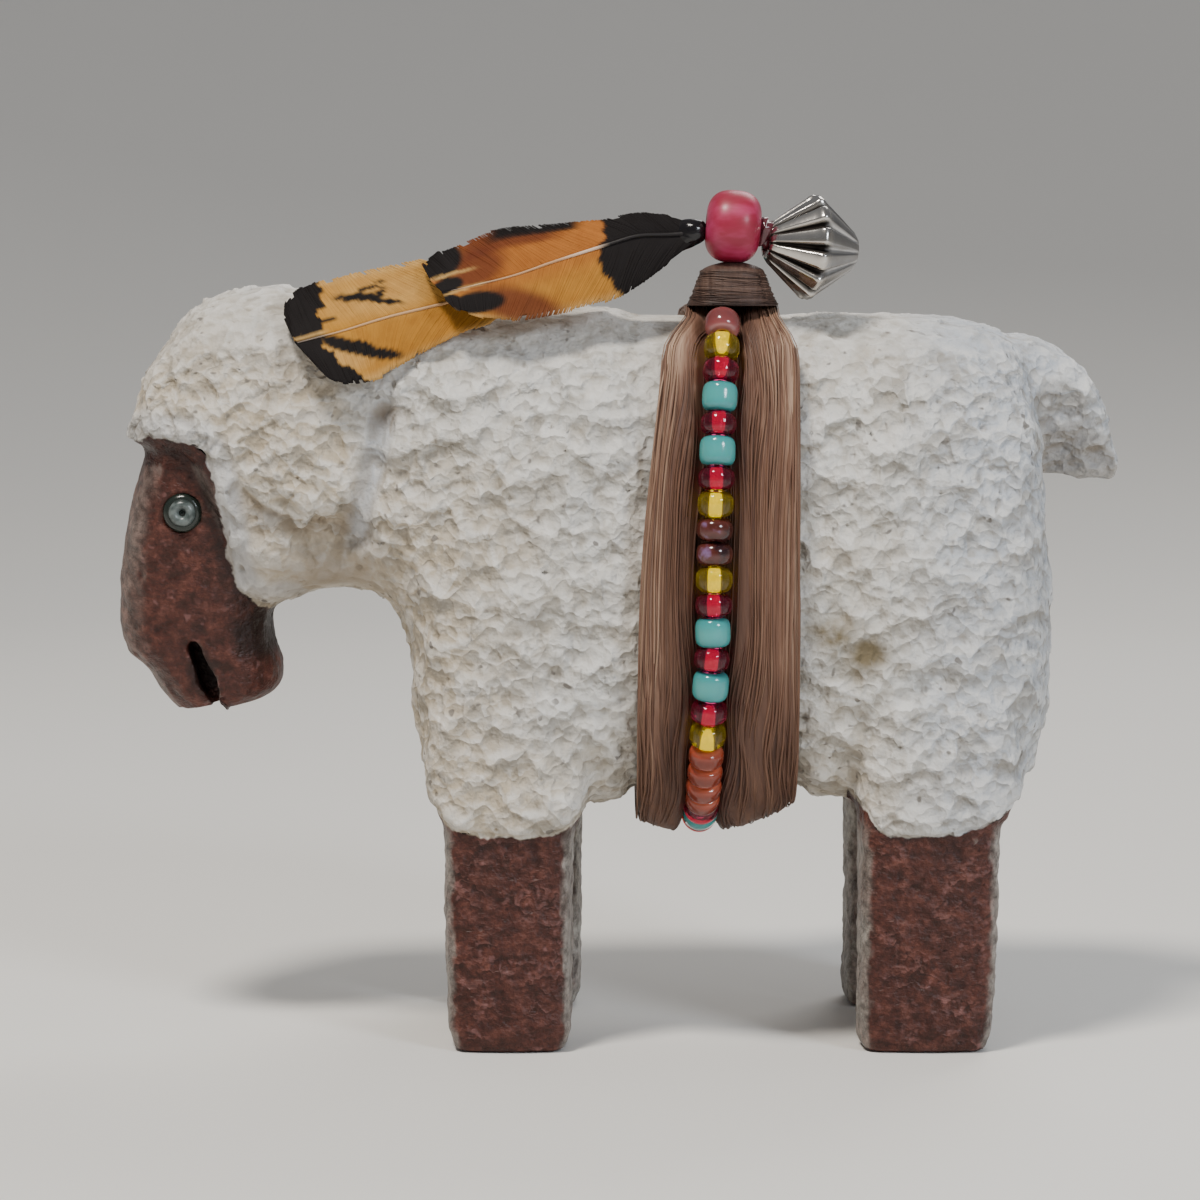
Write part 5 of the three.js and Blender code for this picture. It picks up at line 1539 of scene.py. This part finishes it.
class SHEEP_OT_feathers(bpy.types.Operator):
    """Lay the two feathers, barb by barb"""

    bl_idname = "sheep.feathers"
    bl_label = "Lay the feathers"

    def execute(self, context):
        settings = context.scene.sheep_feather_settings
        look = Look("feather_barbs", GOLD, Roughness=0.75, Specular_IOR_Level=0.15)
        look.colour(look.mix(look.ramp(look.noise(900, 3), [(0.4, 0.0), (0.7, 0.4)]),
                             look.attribute("tint", "Color"), (0.66, 0.55, 0.45), "MULTIPLY"))
        quill = Look("feather_quill", (0.50, 0.33, 0.22), Roughness=0.45, Specular_IOR_Level=0.3)
        quill.colour(quill.attribute("tint", "Color"))
        quill.bump(quill.noise(1200, 2), 0.02)
        made = (("long_feather", LONG_FEATHER, long_feather_colour, "feather_lower", 0),
                ("short_feather", SHORT_FEATHER, short_feather_colour, "feather_upper", 1))
        for name, rows, colour, node, order in made:
            draws = np.random.default_rng(SEED + 6 + order)
            self.feather(name, np.array(rows), colour, node, draws, settings, [look.material, quill.material])
        return {"FINISHED"}

    def feather(self, name, rows, colour, node, draws, settings, materials):
        length = np.sum(np.linalg.norm(np.diff(rows[:, 1], axis=0), axis=1))
        count = int(length / settings.barb_width)
        steps = 16
        parts = Parts()

        def surface(along, across):
            upper, shaft, lower = (catmull_rom(rows[:, k], along) for k in range(3))
            side = np.where(across[:, None] < 0, upper, lower)
            reach = np.abs(across)[:, None]
            bow = 0.10 * np.sin(math.pi * np.abs(across))[:, None] * np.array([0, -1.0, 0])
            return shaft + (side - shaft) * reach + bow

        for side in (-1, 1):
            clump_left, clump = 0, (0.0, 1.0)
            for index in range(count):
                if clump_left == 0:
                    clump_left = int(draws.integers(5, 22))
                    loose = 1 + 2.0 * (index > 0.8 * count)
                    clump = (draws.normal(0, 0.012), 1.0 + draws.normal(0, 0.018 * loose))
                clump_left -= 1
                root = (index + draws.uniform(-0.2, 0.2)) / count
                q = np.linspace(0.0, clump[1] + draws.normal(0, 0.006), steps)
                slant = settings.barb_slant * (1 - 0.55 * root) * draws.uniform(0.98, 1.02) + clump[0]
                along = np.clip(root * (1.0 - slant * 0.2) + slant * q**1.15, 0, 1.0)
                if root + slant * 0.1 > 0.995:
                    continue
                place = surface(along, side * q)
                place[:, 1] += draws.normal(0, 0.012) * q
                run = unit(np.gradient(place, axis=0))
                out = unit(np.cross(run, surface(np.clip(along + 0.03, 0, 1.0), side * q)
                                    - surface(np.clip(along - 0.03, 0, 1.0), side * q) + 1e-9))
                out = out * np.where(out[:, 1:2] > 0, -1.0, 1.0)
                wide = np.cross(out, run)
                half = settings.barb_width * 0.75 * (1 - 0.45 * q**4)
                left, right = place + wide * half[:, None], place - wide * half[:, None]
                under, ridge = out * 0.03, place + out * 0.012
                ring = np.stack([left - under, right - under, right, ridge, left], axis=1)
                faces = grid_faces(steps, 5) + flat_ends(steps, 5)
                tint = colour(place[:, [0, 2]], side * q) * draws.uniform(0.93, 1.05)
                parts.add((ring.reshape(-1, 3), faces), 0, tint=np.repeat(tint, 5, axis=0))
        stations, spread = 90, np.linspace(-0.93, 0.93, 25)
        around = 2 * len(spread)
        along = np.clip(np.linspace(0, 1, stations), 0, 0.98)
        vane = [surface(along, np.full(stations, across)) for across in spread]
        front = np.stack(vane, axis=1) + (0, 0.01, 0)
        back = np.stack(vane[::-1], axis=1) + (0, 0.10, 0)
        rings = np.concatenate([front, back], axis=1)
        points = rings.reshape(-1, 3)
        faces = grid_faces(stations, around) + flat_ends(stations, around)
        across = np.tile(np.concatenate([spread, spread[::-1]]), stations)
        tint = colour(points[:, [0, 2]], across) * 0.9
        parts.add((points, faces), 0, tint=tint)
        bare = np.linspace(0, 0.93, 50)
        shaft = catmull_rom(rows[:, 1], bare) + (0, -0.03, 0)
        shape = tube(shaft, np.linspace(0.2, 0.03, 50), 8)
        tint = colour(shape[0][:, [0, 2]], np.full(len(shape[0]), 0.3))
        pale = (0.3 + 0.6 * smoothstep(-5, -2.5, shape[0][:, 0])) * smoothstep(-0.8, -2.0, shape[0][:, 0])
        parts.add(shape, 1, tint=paint(tint, np.array([0.66, 0.50, 0.38]), pale))
        piece_from(parts, name, materials, node)


class SHEEP_OT_binding(bpy.types.Operator):
    """Wax the quills into their glossy black binding"""

    bl_idname = "sheep.binding"
    bl_label = "Wax the binding"

    def execute(self, context):
        wax = Look("black_wax", (0.006, 0.005, 0.006), Roughness=0.16, Specular_IOR_Level=0.45)
        wax.bump(wax.noise(600, 3, 0.6, stretch=(0.35, 1, 1)), 0.22)
        count, sides = 40, 48
        smooth = catmull_rom(BINDING_LEVELS, np.linspace(0, 1, count))
        turn = 2 * math.pi * np.arange(sides) / sides
        rings = []
        for x, z, half_height, half_depth in smooth:
            rings.append(np.column_stack([np.full(sides, x), BUNDLE_Y - 0.4 + np.cos(turn) * half_depth,
                                          z + np.sin(turn) * half_height]))
        rings = np.stack(rings)
        centre = rings.mean(axis=1, keepdims=True)
        lumps = 1 + 0.07 * rough_noise(rings.reshape(-1, 3), 1.4, 71).reshape(count, sides, 1)
        points = (centre + (rings - centre) * lumps).reshape(-1, 3)
        parts = Parts()
        parts.add((points, grid_faces(count, sides) + flat_ends(count, sides)))
        piece_from(parts, "waxed_binding", [wax.material], "feather_binding")
        return {"FINISHED"}


# The stage


class StageSettings(bpy.types.PropertyGroup):
    distance: bpy.props.FloatProperty(
        name="Camera distance", description="From the camera to the middle of the sheep",
        unit="LENGTH", default=0.32)
    pitch: bpy.props.FloatProperty(
        name="Camera pitch", description="How far the camera looks down", subtype="ANGLE",
        default=math.radians(5))
    floor_colour: bpy.props.FloatVectorProperty(
        name="Floor", description="Colour of the floor", subtype="COLOR", default=(0.80, 0.785, 0.75))
    key_power: bpy.props.FloatProperty(name="Key light", description="Power of the main light", default=2.6)
    fill_power: bpy.props.FloatProperty(
        name="Fill light", description="Power of the fill light", default=1.25)
    sky: bpy.props.FloatProperty(name="Room light", description="Brightness of the room", default=0.24)


class SHEEP_OT_stage(bpy.types.Operator):
    """Lay the floor, set the lights and place the camera"""

    bl_idname = "sheep.stage"
    bl_label = "Set the stage"

    def execute(self, context):
        settings = context.scene.sheep_stage_settings
        profile = [(0.0, 0.0), (60.0, 0.0), (180.0, 0.0), (340.0, 0.0)]
        for bend in np.linspace(0.02, 0.95, 40):
            profile.append((340 + 900 * math.sin(bend), 900 * (1 - math.cos(bend))))
        sides = 96
        turn = 2 * math.pi * np.arange(sides) / sides
        points = [(0.0, 0.0, 0.0)]
        for reach, height in profile[1:]:
            points += [(reach * math.cos(t), reach * math.sin(t), height) for t in turn]
        faces = grid_faces(len(profile) - 1, sides, start=1)
        faces += [(0, 1 + (k + 1) % sides, 1 + k) for k in range(sides)]
        floor = new_mesh_object("studio_floor", points, faces)
        face_outwards(floor.data)
        look = Look("pale_floor", settings.floor_colour, Roughness=0.7)
        look.colour(look.ramp(look.noise(9, 2), [
            (0.3, [c * 0.985 for c in settings.floor_colour]), (0.7, settings.floor_colour)]))
        floor.data.materials.append(look.material)

        self.light("key_light", (-130, -205, 480), (0, 0, 35), 0.11, settings.key_power, (1.0, 0.94, 0.86))
        self.light("fill_light", (300, -380, 250), (0, 0, 30), 0.13, settings.fill_power, (0.84, 0.91, 1.0))
        self.light("back_light", (140, 330, 360), (0, 0, 40), 0.25, 0.8, (1.0, 0.98, 0.95))

        world = bpy.data.worlds.new("soft_room")
        world.use_nodes = True
        background = world.node_tree.nodes["Background"]
        background.inputs["Color"].default_value = (0.93, 0.95, 1.0, 1)
        background.inputs["Strength"].default_value = settings.sky
        context.scene.world = world

        target = Vector(LOOK_AT) * MM
        data = bpy.data.cameras.new("camera")
        camera = bpy.data.objects.new("camera", data)
        context.scene.collection.objects.link(camera)
        back = Vector((0, -math.cos(settings.pitch), math.sin(settings.pitch)))
        camera.location = target + back * settings.distance
        camera.rotation_mode = "QUATERNION"
        camera.rotation_quaternion = (-back).to_track_quat("-Z", "Y")
        data.sensor_width = 36
        data.lens = data.sensor_width * settings.distance / (FRAME_PIXELS * MM_PER_PIXEL * MM)
        data.clip_start, data.clip_end = 0.01, 10
        context.scene.camera = camera
        return {"FINISHED"}

    def light(self, name, place, target, size, power, colour):
        data = bpy.data.lights.new(name, "AREA")
        data.shape = "DISK"
        data.size = size
        data.energy = power
        data.color = colour
        lamp = bpy.data.objects.new(name, data)
        bpy.context.scene.collection.objects.link(lamp)
        lamp.location = Vector(place) * MM
        lamp.rotation_mode = "QUATERNION"
        lamp.rotation_quaternion = (Vector(target) - Vector(place)).to_track_quat("-Z", "Y")


# The add-on's panel and registration

SETTINGS = {
    "sheep_carving_settings": CarvingSettings,
    "sheep_eye_settings": EyeSettings,
    "sheep_sinew_settings": SinewSettings,
    "sheep_large_bead_settings": LargeBeadSettings,
    "sheep_seed_settings": SeedBeadSettings,
    "sheep_feather_settings": FeatherSettings,
    "sheep_stage_settings": StageSettings,
}
OPERATORS = [
    SHEEP_OT_carving,
    SHEEP_OT_eyes,
    SHEEP_OT_sinew,
    SHEEP_OT_collar,
    SHEEP_OT_large_beads,
    SHEEP_OT_seed_beads,
    SHEEP_OT_feathers,
    SHEEP_OT_binding,
    SHEEP_OT_stage,
]


class SHEEP_PT_panel(bpy.types.Panel):
    """Lists the sheep's pieces and what a user may change"""

    bl_idname = "SHEEP_PT_panel"
    bl_label = "Stone sheep"
    bl_space_type = "VIEW_3D"
    bl_region_type = "UI"
    bl_category = "Sheep"

    def draw(self, context):
        column = self.layout.column()
        for operator in OPERATORS:
            column.operator(operator.bl_idname)
        for name, kind in SETTINGS.items():
            group = getattr(context.scene, name)
            box = self.layout.box()
            for key in kind.__annotations__:
                box.prop(group, key)


def register():
    for kind in (*SETTINGS.values(), *OPERATORS, SHEEP_PT_panel):
        bpy.utils.register_class(kind)
    for name, kind in SETTINGS.items():
        setattr(bpy.types.Scene, name, bpy.props.PointerProperty(type=kind))


def unregister():
    for name in SETTINGS:
        delattr(bpy.types.Scene, name)
    for kind in (SHEEP_PT_panel, *reversed(OPERATORS), *SETTINGS.values()):
        bpy.utils.unregister_class(kind)


def main():
    register()
    bpy.ops.sheep.stage()
    bpy.ops.sheep.carving()
    bpy.ops.sheep.eyes()
    bpy.ops.sheep.sinew()
    bpy.ops.sheep.collar()
    bpy.ops.sheep.large_beads()
    bpy.ops.sheep.seed_beads()
    bpy.ops.sheep.feathers()
    bpy.ops.sheep.binding()


if __name__ == "__main__":
    main()
